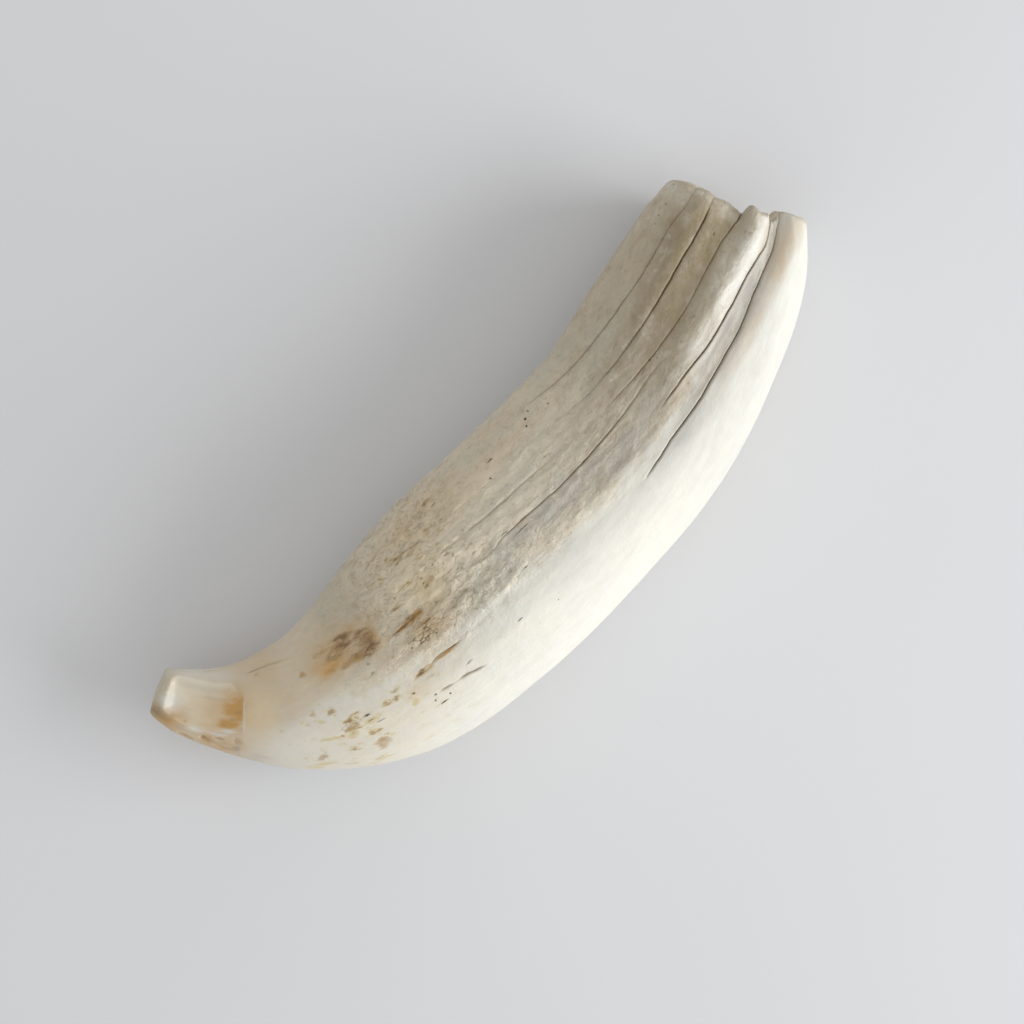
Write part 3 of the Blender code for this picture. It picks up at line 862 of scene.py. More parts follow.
@dataclass(frozen=True)
class Chip:
    """A small flake missing beside the scar: its middle, half length, half breadth and depth.

    The bands are shares of the way from its middle to its edge: its slope, its lip, which gets a painted
    highlight on the side towards the light, and its darker foot.
    """

    along: float
    across: float
    length: float
    breadth: float
    depth: float
    slope: Pair = (1.04, 0.84)
    lip: Band = (0.98, 1.06, 1.12, 1.30)
    lit_side: Pair = (-0.2, 0.6)
    foot: Band = (0.62, 0.80, 0.88, 0.96)

    def marks(self, at: Places, section: Section, ragged: Array) -> tuple[Array, ...]:
        """What the chip changes.

        Args:
            at: Places on the skin.
            section: The tooth's section.
            ragged: How much farther from the middle each place counts.

        Returns:
            Its depth at each place, and how far each place is on its lip and at its foot.
        """
        across, up = section.upper_point(self.along, self.across)
        off = np.hypot(at.across - across, at.up - up)
        far = np.hypot((at.along - self.along) / self.length, off / self.breadth) + ragged
        lit = ease(*self.lit_side, (at.across - self.across) / self.breadth)
        return self.depth * ease(*self.slope, far), lit * band(self.lip, far), band(self.foot, far)


@dataclass(frozen=True)
class Tip:
    """The worn end of the tooth, and the flake scar, its ledge and the chips behind it."""

    # How far the worn end leans back at the top, on the inner side and at the outer corner, how far its
    # middle stands out, and where on the body its lean has died away.
    slope: float = 1.3
    slant: float = 0.5
    corner: float = 0.8
    reach: float = 0.9
    slope_ends: float = 12.0
    face: Knots = ((0, 0), (0.16, 0), (0.32, 0), (0.48, 0.01), (0.62, 0.02), (0.74, 0.03), (0.84, 0.05),
        (0.91, 0.1), (0.96, 0.17), (0.99, 0.26), (1, 0.36))
    face_lumps: Grain = Grain(0.12, (2.5, 2.5, 2.5), 2, 101.0)
    facets: tuple[Facet, ...] = (
        Facet(5.0, 0.0, 3.4, 0.27, 0.03),  # the floor of the scar
        Facet(14.0, 0.0, 5.8, 0.43, 0.04),  # its climb to the ledge
        Facet(10.0, 2.3, 4.8, 0.28, 0.34),  # the streaked side towards the bow
        Facet(4.0, -0.5, 3.2, -1.25, -0.10),  # the steep, bright face behind the worn end
        Facet(3.2, 2.8, 3.4, -0.55, 0.22),  # the duller face beside it
        Facet(9.0, -4.4, 4.4, 0.20, -0.30),  # the outer edge
        Facet(3.2, -3.5, 5.2, -0.28, -0.95),  # the unbroken low corner of the tip
        Facet(19.0, -5.2, 9.1, 0.45, -0.25),  # its lower side, by the ledge
    )
    # The faces' rounded meeting, the scar's blunt edge, and the ledge that it ends at.
    facet_blend: float = 0.5
    facet_bends: Grain = Grain(0.5, (4.0, 2.4, 1.0), 3, 65.0)
    scar_lumps: Grain = Grain(0.05, (1.6, 1.0, 1.0), 3, 66.0)
    scar_soft: Knots = ((-4, 0.1), (1, 0.2), (4, 0.7), (8, 1))
    scar_sink: float = 0.1
    scar_shown: float = 0.6
    scar_ends: Knots = ((-9, 19.4), (-6, 20.1), (-4, 20.3), (2, 20.3), (3.6, 18.2), (8, 17.2))
    scar_fades: Knots = ((-7, 1.2), (-5.2, 0.12), (1.6, 0.12), (3.4, 1.1), (8, 1.4))
    ledge_frays: Grain = Grain(0.25, (2.0, 2.0, 2.0), 3, 67.0)
    chips: tuple[Chip, ...] = (
        Chip(8.2, -7.9, 2.4, 0.75, 0.60),
        Chip(12.5, -7.7, 1.3, 0.8, 0.80),
        Chip(16.3, -9.0, 2.8, 1.5, 0.50),
        Chip(15.3, -7.1, 2.2, 0.35, 0.45),
        Chip(4.6, -7.3, 1.3, 0.5, 0.50),
        Chip(18.9, -7.4, 0.9, 0.7, 0.45),
        Chip(10.8, 7.4, 2.6, 0.6, 0.35),
    )
    chip_frays: Grain = Grain(0.34, (2.2, 1.5, 1.5), 4, 71.0)
    # Where the ledge's painted highlight lies, how strong the painted highlights on the chips' lips and on
    # the ledge are, how brown the chips' feet are, and how much less brown it is behind the ledge.
    ledge: float = 20.3
    ledge_half: float = 0.22
    ledge_across: Band = (-6.0, -3.6, 0.6, 2.8)
    behind_ledge: Band = (20.25, 20.5, 26, 32)
    lip_highlight: float = 0.48
    ledge_highlight: float = 0.85
    brown_foot: float = 0.35
    brown_loss: float = 0.5

    def setback(self, angle: Array, share: Array | float = 1.0) -> Array:
        """How far the worn end leans back.

        Args:
            angle: Angles round the section.
            share: The share of the way from the end's middle to its edge.

        Returns:
            Millimetres towards the root.
        """
        turn = np.radians(angle)
        outer = np.clip(-np.cos(turn), 0, 1) ** 2
        lean = self.slope * np.clip(np.sin(turn), 0, 1) + self.slant * np.cos(turn) + self.corner * outer
        return share * lean - self.reach

    def cut_scar(self, along: Array, points: Array) -> tuple[Array, Array]:
        """Breaks the flake off the top of the tip.

        Args:
            along: Distances from the tip.
            points: Distances across and up, along the last axis.

        Returns:
            The points with the flake gone, and how deep each was cut.
        """
        across, up = points[..., 0], points[..., 1]
        nil = np.zeros_like(across)
        spots = np.stack([along, across, nil], -1)
        bent = along + self.facet_bends.at(spots)
        roof = self.facets[0].height(bent, across)
        for facet in self.facets[1:]:
            other = facet.height(bent, across)
            roof = (roof + other + np.sqrt((roof - other) ** 2 + self.facet_blend**2)) / 2
        over = up - roof - self.scar_lumps.at(spots)
        soft = linear(self.scar_soft, across)
        depth = np.clip((over + np.sqrt(over**2 + soft**2)) / 2 - self.scar_sink * soft, 0, None)
        last = linear(self.scar_ends, across) + self.ledge_frays.at(np.stack([across, nil, nil], -1))
        depth = depth * ease(1, -1, (along - last) / linear(self.scar_fades, across)) * (up > 0)
        return points - depth[..., None] * np.array([0, 1]), depth * (over > -self.scar_shown * soft)

    def chipped(self, at: Places, section: Section, masks: Masks) -> Array:
        """Breaks the small flakes off, paints highlights on their lips and along the ledge, and marks their
        feet brown.

        Args:
            at: Places on the skin.
            section: The tooth's section.
            masks: The stains' masks: the white one gets the painted highlights on the lips and the ledge, the
                buff one the ledge's as well, and the amber one the brown feet.

        Returns:
            How deep each place was cut.
        """
        ragged = self.chip_frays.at(at.skin)
        marks = [chip.marks(at, section, ragged) for chip in self.chips]
        depth, lip, foot = (np.max(part, 0) for part in zip(*marks))
        # Painted highlights: white on the chips' lips, white and buff along the ledge's edge.
        ledge = np.exp(-(((at.along - self.ledge) / self.ledge_half) ** 2))
        ledge = ledge * band(self.ledge_across, at.across) * (at.up > 0)
        masks["white"] = np.max([masks["white"], self.lip_highlight * lip, self.ledge_highlight * ledge], 0)
        masks["buff"] = np.maximum(masks["buff"], ledge)
        brown = np.maximum(masks["amber"], self.brown_foot * foot)
        masks["amber"] = brown * (1 - self.brown_loss * band(self.behind_ledge, at.along))
        return depth


@dataclass(frozen=True)
class Root:
    """The rim of the open root and the pulp cavity inside it."""

    setback: Knots = ((0, 0.5), (20, -0.3), (40, -0.3), (58, 0.6), (66, 1), (75, 1.9), (82, 2.1), (90, 2.7),
        (95, 3.3), (99, 1.3), (103, 1.3), (112, 1.6), (118, 2.3), (124, 1.7), (130, 0.2), (145, -0.3),
        (160, 0.4), (180, 1.6), (205, 1.2), (228, 3.1), (250, 1), (285, 1.9), (302, 3.4), (325, 1.4),
        (360, 0.5))
    starts: float = 160.0
    # The half width and half height of the oval on which the rim's raggedness is read from the noise.
    half: Pair = (15, 13)
    ragged: Grain = Grain(0.3, (3.0, 3.0, 3.0), 4, 91.0)
    bites: Grain = Grain(1.0, (1.3, 1.3, 1.3), 3, 94.0)
    bite_edge: Pair = (0.15, 0.55)
    bitten: float = 0.5
    # How far inwards the rings of the rim's face lie, and how much farther out its inner edge stands.
    sinks: tuple[float, ...] = (0.35, 0.7, 1.15, 1.7, 2.3, 3)
    proud: float = 0.3
    broken: Grain = Grain(0.22, (1.2, 1.2, 1.2), 3, 97.0)
    face_pulp: Pair = (0.1, 0.4)
    face_growth: Pair = (0.15, 1.0)
    face_grey: Band = (20, 60, 90, 120)
    grey_share: float = 0.6
    # The cavity: the wall at its mouth, its width at each depth, and how much of the outside's folds it has.
    wall: float = 4.3
    cavity: Knots = ((0, 1.03), (0.5, 1), (1.2, 0.985), (5, 0.95), (14, 0.82), (25, 0.62), (36, 0.38),
        (44, 0.18), (48, 0.07), (49, 0))
    cavity_folding: float = 0.55
    cavity_rings: int = 30
    cavity_spacing: float = 1.25
    cavity_pulp: Knots = ((0, 0.45), (2.5, 1))
    cavity_rough: Grain = Grain(0.25, (14, 2.6, 2.6), 3, 111.0)
    cavity_even: float = 5.0
    cavity_noise: float = 40.0
    tan_share: float = 0.5

    def rim_setback(self, angle: Array, along: float) -> Array:
        """How far the rim stands back from the end of the middle line, with ragged edges.

        Args:
            angle: Angles round the section.
            along: The rim's distance from the tip.

        Returns:
            Millimetres towards the tip.
        """
        turn = np.radians(angle)
        wide, high = self.half
        spots = np.stack([np.cos(turn) * wide, np.sin(turn) * high, np.full_like(angle, along)], -1)
        bites = self.bitten * ease(*self.bite_edge, self.bites.at(spots))
        return smooth(self.setback, angle % FULL_TURN) + self.ragged.at(spots) + bites

    def depths(self) -> Array:
        """How deep each ring of the cavity lies, closer together at its mouth."""
        return self.cavity[-1][0] * np.linspace(0, 1, self.cavity_rings) ** self.cavity_spacing


@dataclass
class Patch:
    """A run of mesh rings: where its points are, and what the shader needs to know at each."""

    points: Array
    skin: Array
    masks: Masks


@dataclass
class Tooth:
    """The whole tooth, which is one piece: a sheet of points wrapped round, and closed at its two ends."""

    line: MiddleLine = MiddleLine()
    section: Section = Section()
    tip: Tip = Tip()
    root: Root = Root()
    regions: Regions = Regions()
    relief: Relief = Relief()
    cracks: tuple[Crack, ...] = TOP_CRACKS + HIDDEN_CRACKS
    swells: tuple[Swell, ...] = SWELLS
    stains: tuple[Stain, ...] = STAINS_AND_PAINTED_LIGHT
    masks: tuple[str, ...] = (
        "chalk", "dull", "crack", "dirt", "tip", "scar", "end", "growth", "pulp", "grey", "scaly", "porous",
        "spotty", *(mark.name.lower() for mark in Mark),
    )
    # Where the rings lie: from and to at the tip, on the body and at the rim, and each one at the ledge.
    tip_rings: Pair = (1.0, 19.8)
    ledge_rings: tuple[float, ...] = (19.9, 20.05, 20.2, 20.35, 20.5, 20.8, 21.3)
    body_rings: Pair = (22.0, 181.6)
    rim_rings: Pair = (182.0, 184.4)
    fine_step: float = 0.42
    plain_step: float = 0.66
    # How far a crack's columns lie from its line, and the share of the gap to the next that they may fill.
    bundle: tuple[float, ...] = (0.1, 0.24, 0.58)
    bundle_share: float = 0.3
    # How far from a crack the columns between the bundles count, and how steep a plate's edge is.
    far_off: float = 9.0
    plate_edge: float = 3.0
    # How far from its line a crack is open, black and dirty.
    crack_half: float = 0.23
    dark_half: float = 0.115
    dark_reach: float = 1.3
    dirt_half: float = 0.65
    dark_least: float = 0.72
    dark_changes: Grain = Grain(0.5, (2.6, 2.6, 2.6), 3, 77.0)
    # How a stain's edge wanders, lengthwise and across.
    wander: Grain = Grain(0.9, (5, 2.2, 2.2), 3, 61.0)
    wander_along: float = 1.4
    wander_across: float = 0.7
    wander_least: float = 0.35
    wander_grows: Pair = (20, 32)
    # Where the tip's smooth skin and the worn end fade out, and how deep the scar is where it shows.
    tip_fades: Pair = (43, 19)
    tip_frays: Grain = Grain(5.0, (14, 7, 7), 2, 81.0)
    outer_sooner: float = 12.0
    outer_side: Pair = (-2.5, -8)
    end_fades: Pair = (2.9, 1.5)
    end_frays: Grain = Grain(0.7, (3, 3, 3), 3, 83.0)
    end_growth: Pair = (1.02, 0.8)
    scar_shows: Pair = (0.1, 0.3)

    def rings(self) -> Array:
        """Distances from the tip of the rings along the outside.

        Returns:
            The distances in rising order, closer together at the tip, at the ledge and at the rim.
        """
        tip = np.arange(*self.tip_rings, self.fine_step)
        body = np.arange(*self.body_rings, self.plain_step)
        rim = np.arange(*self.rim_rings, self.fine_step)
        return np.concatenate([tip, self.ledge_rings, body, rim])

    def columns(self, along: Array) -> tuple[Array, Array]:
        """Lays the points of each ring out round the section.

        Args:
            along: The distance of each ring from the tip.

        Returns:
            For each ring and column, the angle and the plate's own height.
        """
        lines = [crack.line(along, self.section, k + 1.0) for k, crack in enumerate(self.cracks)]
        lines.append(lines[0] + FULL_TURN)
        angle, height = [], []
        for crack, here, there in zip(self.cracks, lines, lines[1:]):
            pace = [self.section.outward(along, line)[1] for line in (here, there)]
            gap = (there - here) * pace[0]
            shrink = np.minimum(1, self.bundle_share * gap / self.bundle[-1])
            near = [here] + [here + step * shrink / pace[0] for step in self.bundle]
            far = [there - step * shrink / pace[1] for step in reversed(self.bundle)]
            shares = np.linspace(0, 1, crack.columns + 2)[1:-1]
            run = near + [near[-1] + (far[0] - near[-1]) * share for share in shares] + far
            plate = linear(crack.plate, along)
            angle += run
            height += [
                plate * (1 - np.abs(2 * (a - here) / (there - here) - 1) ** self.plate_edge) for a in run
            ]
        return np.stack(angle, 1), np.stack(height, 1)

    def from_crack(self, half: float, reach: float = 1.0) -> Array:
        """How near each column is to a crack's line.

        Args:
            half: The distance that counts as 1.
            reach: The value on the line itself, from which the distance is taken.

        Returns:
            Values from 0 to 1.
        """
        steps = [0.0, *self.bundle]
        runs = [steps + [self.far_off] * crack.columns + steps[:0:-1] for crack in self.cracks]
        return np.clip(reach - np.concatenate(runs) / half, 0, 1)

    def by_crack(self, along: Array, name: str) -> Array:
        """A crack's depth or darkness on the columns of its bundle, and 0 elsewhere.

        Args:
            along: The distance of each ring from the tip.
            name: Which of the cracks' values.

        Returns:
            The value for each ring and column.
        """
        half = len(self.bundle)
        own = [linear(getattr(crack, name), along) for crack in self.cracks]
        spread = []
        for crack, here, there in zip(self.cracks, own, own[1:] + own[:1]):
            spread += [here] * (half + 1) + [np.zeros_like(along)] * crack.columns + [there] * half
        return np.stack(spread, 1)

    def notch(self, along: Array) -> Array:
        """How deep the cracks cut in, for each ring and column."""
        return self.from_crack(self.crack_half) * self.by_crack(along, "depth")

    def swelling(self, at: Places) -> Array:
        """The height that all the swells and hollows add at each place."""
        return sum(swell.rise(at) for swell in self.swells)

    def stained(self, at: Places, skin: Array) -> Masks:
        """How strongly each kind of stain, painted highlight and painted shade covers each place, with edges
        that wander a little.

        Args:
            at: Places on the skin.
            skin: Where the noise is read.

        Returns:
            One mask for each kind, by its name.
        """
        grows = self.wander_least + (1 - self.wander_least) * ease(*self.wander_grows, at.along)
        wander = self.wander.at(skin) * grows
        along, across = at.along + self.wander_along * wander, at.across + self.wander_across * wander
        at = replace(at, along=along, across=across)
        cover = {mark.name.lower(): np.zeros_like(along) for mark in Mark}
        for mark, zone in self.stains:
            name = mark.name.lower()
            cover[name] = np.maximum(cover[name], zone.cover(at))
        return cover

    def outside(self) -> Patch:
        """The rings along the outside.

        Returns:
            The patch from the edge of the worn end to the rim.
        """
        rows = self.rings()
        angle, plate = self.columns(rows)
        at = self.section.places(np.repeat(rows[:, None], angle.shape[1], 1), angle)
        along, skin = at.along, at.skin
        masks = self.regions.masks(at) | self.stained(at, skin)
        rise = plate - self.notch(rows) + self.relief.rise(at, masks["scaly"])
        rise = rise - self.tip.chipped(at, self.section, masks) + self.swelling(at)
        points, cut = self.tip.cut_scar(along, skin[..., 1:] + at.normal * rise[..., None])
        dark = self.by_crack(rows, "dark")
        changing = np.clip(dark * (self.dark_least + self.dark_changes.at(skin)), 0, 1)
        sooner = self.outer_sooner * ease(*self.outer_side, at.across)
        masks |= {
            "scar": ease(*self.scar_shows, cut),
            "crack": self.from_crack(self.dark_half, self.dark_reach) * changing,
            "dirt": self.from_crack(self.dirt_half) * dark,
            "tip": ease(*self.tip_fades, along + sooner + self.tip_frays.at(skin)),
            "end": ease(*self.end_fades, along + self.end_frays.at(skin)),
        }
        where = along - self.root.rim_setback(angle, rows[-1]) * ease(self.root.starts, rows[-1], along)
        where = where + self.tip.setback(angle) * np.clip(1 - along / self.tip.slope_ends, 0, 1) ** 2
        height = self.section.base_height(where) + points[..., 1]
        return self._patch(self.line.place(where, points[..., 0], height), skin, masks)

    def worn_end(self) -> Patch:
        """The rings over the worn end.

        Returns:
            The patch from the middle of the end to its edge.
        """
        share, back = np.array(self.tip.face).T[..., None]
        angle = np.repeat(self.columns(np.zeros(1))[0], len(share), 0)
        nil = np.zeros_like(angle)
        edge = self.section.places(nil, angle)
        at = replace(edge, across=edge.across * share, up=edge.up * share)
        where = self.tip.setback(angle, share) + back
        skin = replace(at, along=where).skin
        where = where + share * self.tip.face_lumps.at(skin)
        points, cut = self.tip.cut_scar(where, skin[..., 1:])
        masks = self.stained(at, skin) | {
            "end": nil + 1,
            "tip": nil + 1,
            "growth": nil + share * ease(*self.end_growth, share),
            "scar": ease(*self.scar_shows, cut),
        }
        height = self.section.base_height(nil) + points[..., 1]
        return self._patch(self.line.place(where, points[..., 0], height), skin, masks)

    def cavity(self) -> Patch:
        """The rings over the rim and down the pulp cavity.

        Returns:
            The patch from the outer edge of the rim to the cavity's end.
        """
        end, root = self.line.length, self.root
        angle, plate = self.columns(np.array([end]))
        setback = root.rim_setback(angle, self.rings()[-1])
        at = self.section.places(np.full_like(angle, end), angle)
        folds, notch = plate + self.swelling(at), self.notch(at.along[:, 0])
        points, where, pulp, growth = [], [], [], []
        for sink in root.sinks:
            share = (sink - root.sinks[0]) / (root.sinks[-1] - root.sinks[0])
            face = at.skin[..., 1:] + at.normal * (folds - notch * (1 - share) - sink)[..., None]
            spots = np.stack([np.full_like(angle, sink), face[..., 0], face[..., 1]], -1)
            points.append(face)
            where.append(end - setback + root.proud * share + root.broken.at(spots))
            pulp.append(np.interp(share, (0, 1), root.face_pulp))
            growth.append(np.interp(share, (0, 1), root.face_growth))
        mouth = at.skin[..., 1:] + at.normal * (root.cavity_folding * folds - root.wall)[..., None]
        for depth in root.depths():
            share = linear(root.cavity, depth)
            points.append(mouth * share)
            where.append(end - depth - share * setback)
            pulp.append(linear(root.cavity_pulp, depth))
            growth.append(0.0)
        points, where = np.concatenate(points), np.concatenate(where)
        pulp, growth = (np.array(values)[:, None] + np.zeros_like(angle) for values in (pulp, growth))
        skin = np.stack([where + root.cavity_noise, points[..., 0], points[..., 1]], -1)
        even = np.minimum(1, np.linalg.norm(points, axis=-1) / root.cavity_even)
        rough = root.cavity_rough.at(skin) * even * (pulp > root.face_pulp[1])
        points = points - rough[..., None] * at.normal
        height = self.section.base_height(np.full_like(where, end)) + points[..., 1]
        grey = root.grey_share * band(root.face_grey, angle) + np.zeros_like(pulp)
        masks = {"pulp": pulp, "growth": growth, "grey": grey, "tan": root.tan_share * pulp}
        return self._patch(self.line.place(where, points[..., 0], height), skin, masks)

    def _patch(self, points: Array, skin: Array, masks: Masks) -> Patch:
        """A patch with a value for every mask, 0 where none was given."""
        nil = np.zeros(points.shape[:2])
        return Patch(points, skin, {name: masks.get(name, nil) for name in self.masks})

    def mesh(self) -> bpy.types.Mesh:
        """Joins the patches into one closed mesh that carries the masks.

        Returns:
            The mesh, in metres, with its faces outwards.
        """
        patches = [self.worn_end(), self.outside(), self.cavity()]
        points = self._wrapped([patch.points for patch in patches])
        skins = self._wrapped([patch.skin for patch in patches]).reshape(-1, 3) * MM
        values = [self._wrapped([patch.masks[name] for patch in patches]).ravel() for name in self.masks]
        sheet = bmesh.new()
        layers = [sheet.verts.layers.float.new(name) for name in self.masks]
        skin_layer = sheet.verts.layers.float_vector.new("skin")
        columns, rows = points.shape[1] - 1, points.shape[0] - 1
        bmesh.ops.create_grid(sheet, x_segments=columns, y_segments=rows, size=1)
        for i, (vertex, point) in enumerate(zip(sheet.verts, points.reshape(-1, 3))):
            vertex.co = point
            vertex[skin_layer] = skins[i]
            for layer, value in zip(layers, values):
                vertex[layer] = value[i]
        bmesh.ops.remove_doubles(sheet, verts=sheet.verts, dist=WELD)
        bmesh.ops.recalc_face_normals(sheet, faces=sheet.faces)
        mesh = mesh_from(sheet, "tooth_skin")
        mesh.shade_smooth()
        return mesh

    def _wrapped(self, parts: list[Array]) -> Array:
        """Stacks rings, each with its first point again at its end."""
        return np.concatenate([np.concatenate([part, part[:, :1]], 1) for part in parts])

    def build(self, finish: "Ivory") -> bpy.types.Object:
        """Makes the tooth, in place of its plain solid.

        Args:
            finish: The ivory that it gets.

        Returns:
            The finished object.
        """
        tooth = placed("tooth_skin", self.mesh())
        tooth.data.materials.append(finish.material())
        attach(tooth, "root")
        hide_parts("tooth")
        LOG.info("%s: %d points, %d faces", tooth.name, len(tooth.data.vertices), len(tooth.data.polygons))
        return tooth


@dataclass(frozen=True)
class Texture:
    """A noise from 0 to 1: its largest grains in millimetres, its finer layers and how strong they are.

    Under 1, the last value draws the grains out along the tooth.
    """

    size: float
    detail: float = 3.0
    rough: float = 0.55
    along: float = 1.0


@dataclass(frozen=True)
class Ramp:
    """A soft step: low and below become to_low, high and above become to_high. Low may be the larger one."""

    low: float
    high: float
    to_low: float = 0.0
    to_high: float = 1.0

    def up_to(self, most: float) -> "Ramp":
        """The same step with another height."""
        return Ramp(self.low, self.high, self.to_low, most)


@dataclass(frozen=True)
class Signal:
    """A value, colour or direction that a node gives. Sums on it add the nodes that work them out."""

    bench: "Bench"
    socket: Socket

    def __add__(self, other: object) -> "Signal":
        """The two values together."""
        return self.bench.math("ADD", self, other)

    def __sub__(self, other: object) -> "Signal":
        """This value less the other."""
        return self.bench.math("SUBTRACT", self, other)

    def __rsub__(self, other: object) -> "Signal":
        """A plain number less this value."""
        return self.bench.math("SUBTRACT", other, self)

    def __mul__(self, other: object) -> "Signal":
        """The two values multiplied."""
        return self.bench.math("MULTIPLY", self, other)

    def __abs__(self) -> "Signal":
        """The value without its sign."""
        return self.bench.math("ABSOLUTE", self)

    def most(self, other: object) -> "Signal":
        """The larger of the two values."""
        return self.bench.math("MAXIMUM", self, other)

    def sine(self) -> "Signal":
        """The value's sine."""
        return self.bench.math("SINE", self)

    def through(self, ramp: Ramp) -> "Signal":
        """The value after a soft step.

        Args:
            ramp: The step.

        Returns:
            The new value, which never passes the step's ends.
        """
        inputs = {"Value": self, "From Min": ramp.low, "From Max": ramp.high}
        inputs |= {"To Min": ramp.to_low, "To Max": ramp.to_high}
        return self.bench.node("ShaderNodeMapRange", {"interpolation_type": "SMOOTHSTEP"}, inputs, "Result")

    def vector(self, operation: str, other: object) -> "Signal":
        """Works out a sum on two directions."""
        settings = {"operation": operation}
        return self.bench.node("ShaderNodeVectorMath", settings, {0: self, 1: other}, "Vector")

    def noise(self, texture: Texture, output: str = "Fac") -> "Signal":
        """Noise over these coordinates.

        Args:
            texture: The noise's kind.
            output: Whether it is a value, "Fac", or three at once, "Color".

        Returns:
            Values from 0 to 1.
        """
        where = self if texture.along == 1 else self.vector("MULTIPLY", (texture.along, 1, 1))
        inputs = {"Vector": where, "Scale": 1 / (texture.size * MM)}
        inputs |= {"Detail": texture.detail, "Roughness": texture.rough}
        return self.bench.node("ShaderNodeTexNoise", {}, inputs, output)


class Bench:
    """Lays out and joins the nodes of one material."""

    def __init__(self, name: str) -> None:
        """Starts a material with only its Principled shader.

        Args:
            name: The material's name.
        """
        self.material = bpy.data.materials.new(name)
        self.material.use_nodes = True
        self.tree = self.material.node_tree
        self.shader = self.tree.nodes["Principled BSDF"]

    def node(self, kind: str, settings: dict[str, str], inputs: dict[str | int, object],
             output: str | int) -> Signal:
        """Adds a node.

        Args:
            kind: The node's type.
            settings: Its properties.
            inputs: What goes into its sockets: a signal, or a value.
            output: Which of its outputs is wanted.

        Returns:
            What the node gives.
        """
        made = self.tree.nodes.new(kind)
        for name, value in settings.items():
            setattr(made, name, value)
        for name, value in inputs.items():
            self.feed(made.inputs[name], value)
        return Signal(self, made.outputs[output])

    def feed(self, socket: Socket, value: object) -> None:
        """Puts something into a socket.

        Args:
            socket: The socket.
            value: A signal to link, or a value to set.
        """
        if isinstance(value, Signal):
            self.tree.links.new(value.socket, socket)
        else:
            socket.default_value = value

    def finish(self, inputs: dict[str, object]) -> bpy.types.Material:
        """Feeds the shader.

        Args:
            inputs: What goes into its sockets.

        Returns:
            The finished material.
        """
        for name, value in inputs.items():
            self.feed(self.shader.inputs[name], value)
        return self.material

    def mask(self, name: str | Mark) -> Signal:
        """One of the mesh's own masks."""
        name = name.name.lower() if isinstance(name, Mark) else name
        return self.node("ShaderNodeAttribute", {"attribute_name": name}, {}, "Fac")

    def math(self, operation: str, *values: object) -> Signal:
        """Works out a sum on one or two values."""
        return self.node("ShaderNodeMath", {"operation": operation}, dict(enumerate(values)), "Value")

    def mix(self, cover: object, below: object, above: object, blend: str = "MIX") -> Signal:
        """Lays one colour over another.

        Args:
            cover: How strongly it covers.
            below: The colour below: a signal, a named colour or its four numbers.
            above: The colour above.
            blend: How the two are joined.

        Returns:
            The new colour.
        """
        below, above = ((*c.value, 1) if isinstance(c, Enum) else c for c in (below, above))
        settings = {"data_type": "RGBA", "blend_type": blend}
        inputs = {MIX_COVER: cover, MIX_BELOW: below, MIX_ABOVE: above}
        return self.node("ShaderNodeMix", settings, inputs, MIX_RESULT)


@dataclass(frozen=True)
class Ground:
    """What the ivory's layers share: the bench, the places on the tooth, and two noises."""

    bench: Bench
    skin: Signal
    flake: Signal
    fibre: Signal


@dataclass(frozen=True)
class Clean:
    """The clean ivory: chalk and plates, the tip, the scar, the worn end and the pulp cavity."""

    blotch: Texture = Texture(9.0, 4.0, along=0.5)
    cool: Texture = Texture(6.0, 4.0, 0.6, 0.45)
    smudge: Texture = Texture(3.4, 5.0, 0.62, 0.7)
    cool_patches: Ramp = Ramp(0.46, 0.66, 0.0, 0.6)
    dark_smudges: Ramp = Ramp(0.50, 0.68, 0.0, 0.6)
    light_smudges: Ramp = Ramp(0.46, 0.32, 0.0, 0.4)
    warm_patches: Ramp = Ramp(0.4, 0.7, 0.1, 0.65)
    flake_frays: float = 0.9
    fibre_frays: float = 0.5
    frays_middle: float = 0.7
    chalk_edge: Ramp = Ramp(0.1, 0.9)
    dulled: float = 0.85
    tip_colour: float = 0.85
    high_scales: Ramp = Ramp(0.52, 0.68)
    high_worn: float = 0.45
    low_scales: Ramp = Ramp(0.46, 0.30)
    low_dirty: float = 0.40
    end_edge: Ramp = Ramp(0.2, 0.8)
    mottle: Ramp = Ramp(0.25, 0.75, 0.95, 1.05)
    speck: Ramp = Ramp(0.3, 0.7, 0.975, 1.025)

    def colour(self, ground: Ground) -> Signal:
        """Builds the colour.

        Args:
            ground: What the layers share.

        Returns:
            The colour without stains and cracks.
        """
        bench, skin, flake = ground.bench, ground.skin, ground.flake
        grey, scaly = bench.mask("grey"), bench.mask("scaly")
        blotch, smudge = skin.noise(self.blotch), skin.noise(self.smudge)
        cool = skin.noise(self.cool).through(self.cool_patches)
        plate = bench.mix(grey, bench.mix(cool, Shade.PLATE, Shade.COOL_PLATE), Shade.GREY_PLATE)
        chalk = bench.mix(blotch.through(self.warm_patches), Shade.CHALK, Shade.WARM_CHALK)
        plate = bench.mix(smudge.through(self.dark_smudges) * grey, plate, Mark.OLIVE)
        plate = bench.mix(smudge.through(self.light_smudges) * grey, plate, Mark.PALE)
        chalk = bench.mix(bench.mask("dull") * self.dulled, chalk, Shade.DULL_CHALK)
        frays = flake * self.flake_frays + ground.fibre * self.fibre_frays - self.frays_middle
        colour = bench.mix((bench.mask("chalk") + frays).through(self.chalk_edge), plate, chalk)
        for cover, shade in (
            (bench.mask("tip") * self.tip_colour, Shade.TIP),
            (flake.through(self.high_scales) * scaly * self.high_worn, Shade.WARM_CHALK),
            (flake.through(self.low_scales) * scaly * self.low_dirty, Shade.DIRT),
            (bench.mask("scar"), Shade.SCAR),
            (bench.mask("end").through(self.end_edge), Shade.WORN_END),
            (bench.mask("pulp"), Shade.PULP),
        ):
            colour = bench.mix(cover, colour, shade)
        tone = blotch.through(self.mottle) * ground.fibre.through(self.speck)
        tone = bench.node("ShaderNodeCombineColor", {}, dict.fromkeys(range(3), tone), "Color")
        return bench.mix(1.0, colour, tone, "MULTIPLY")


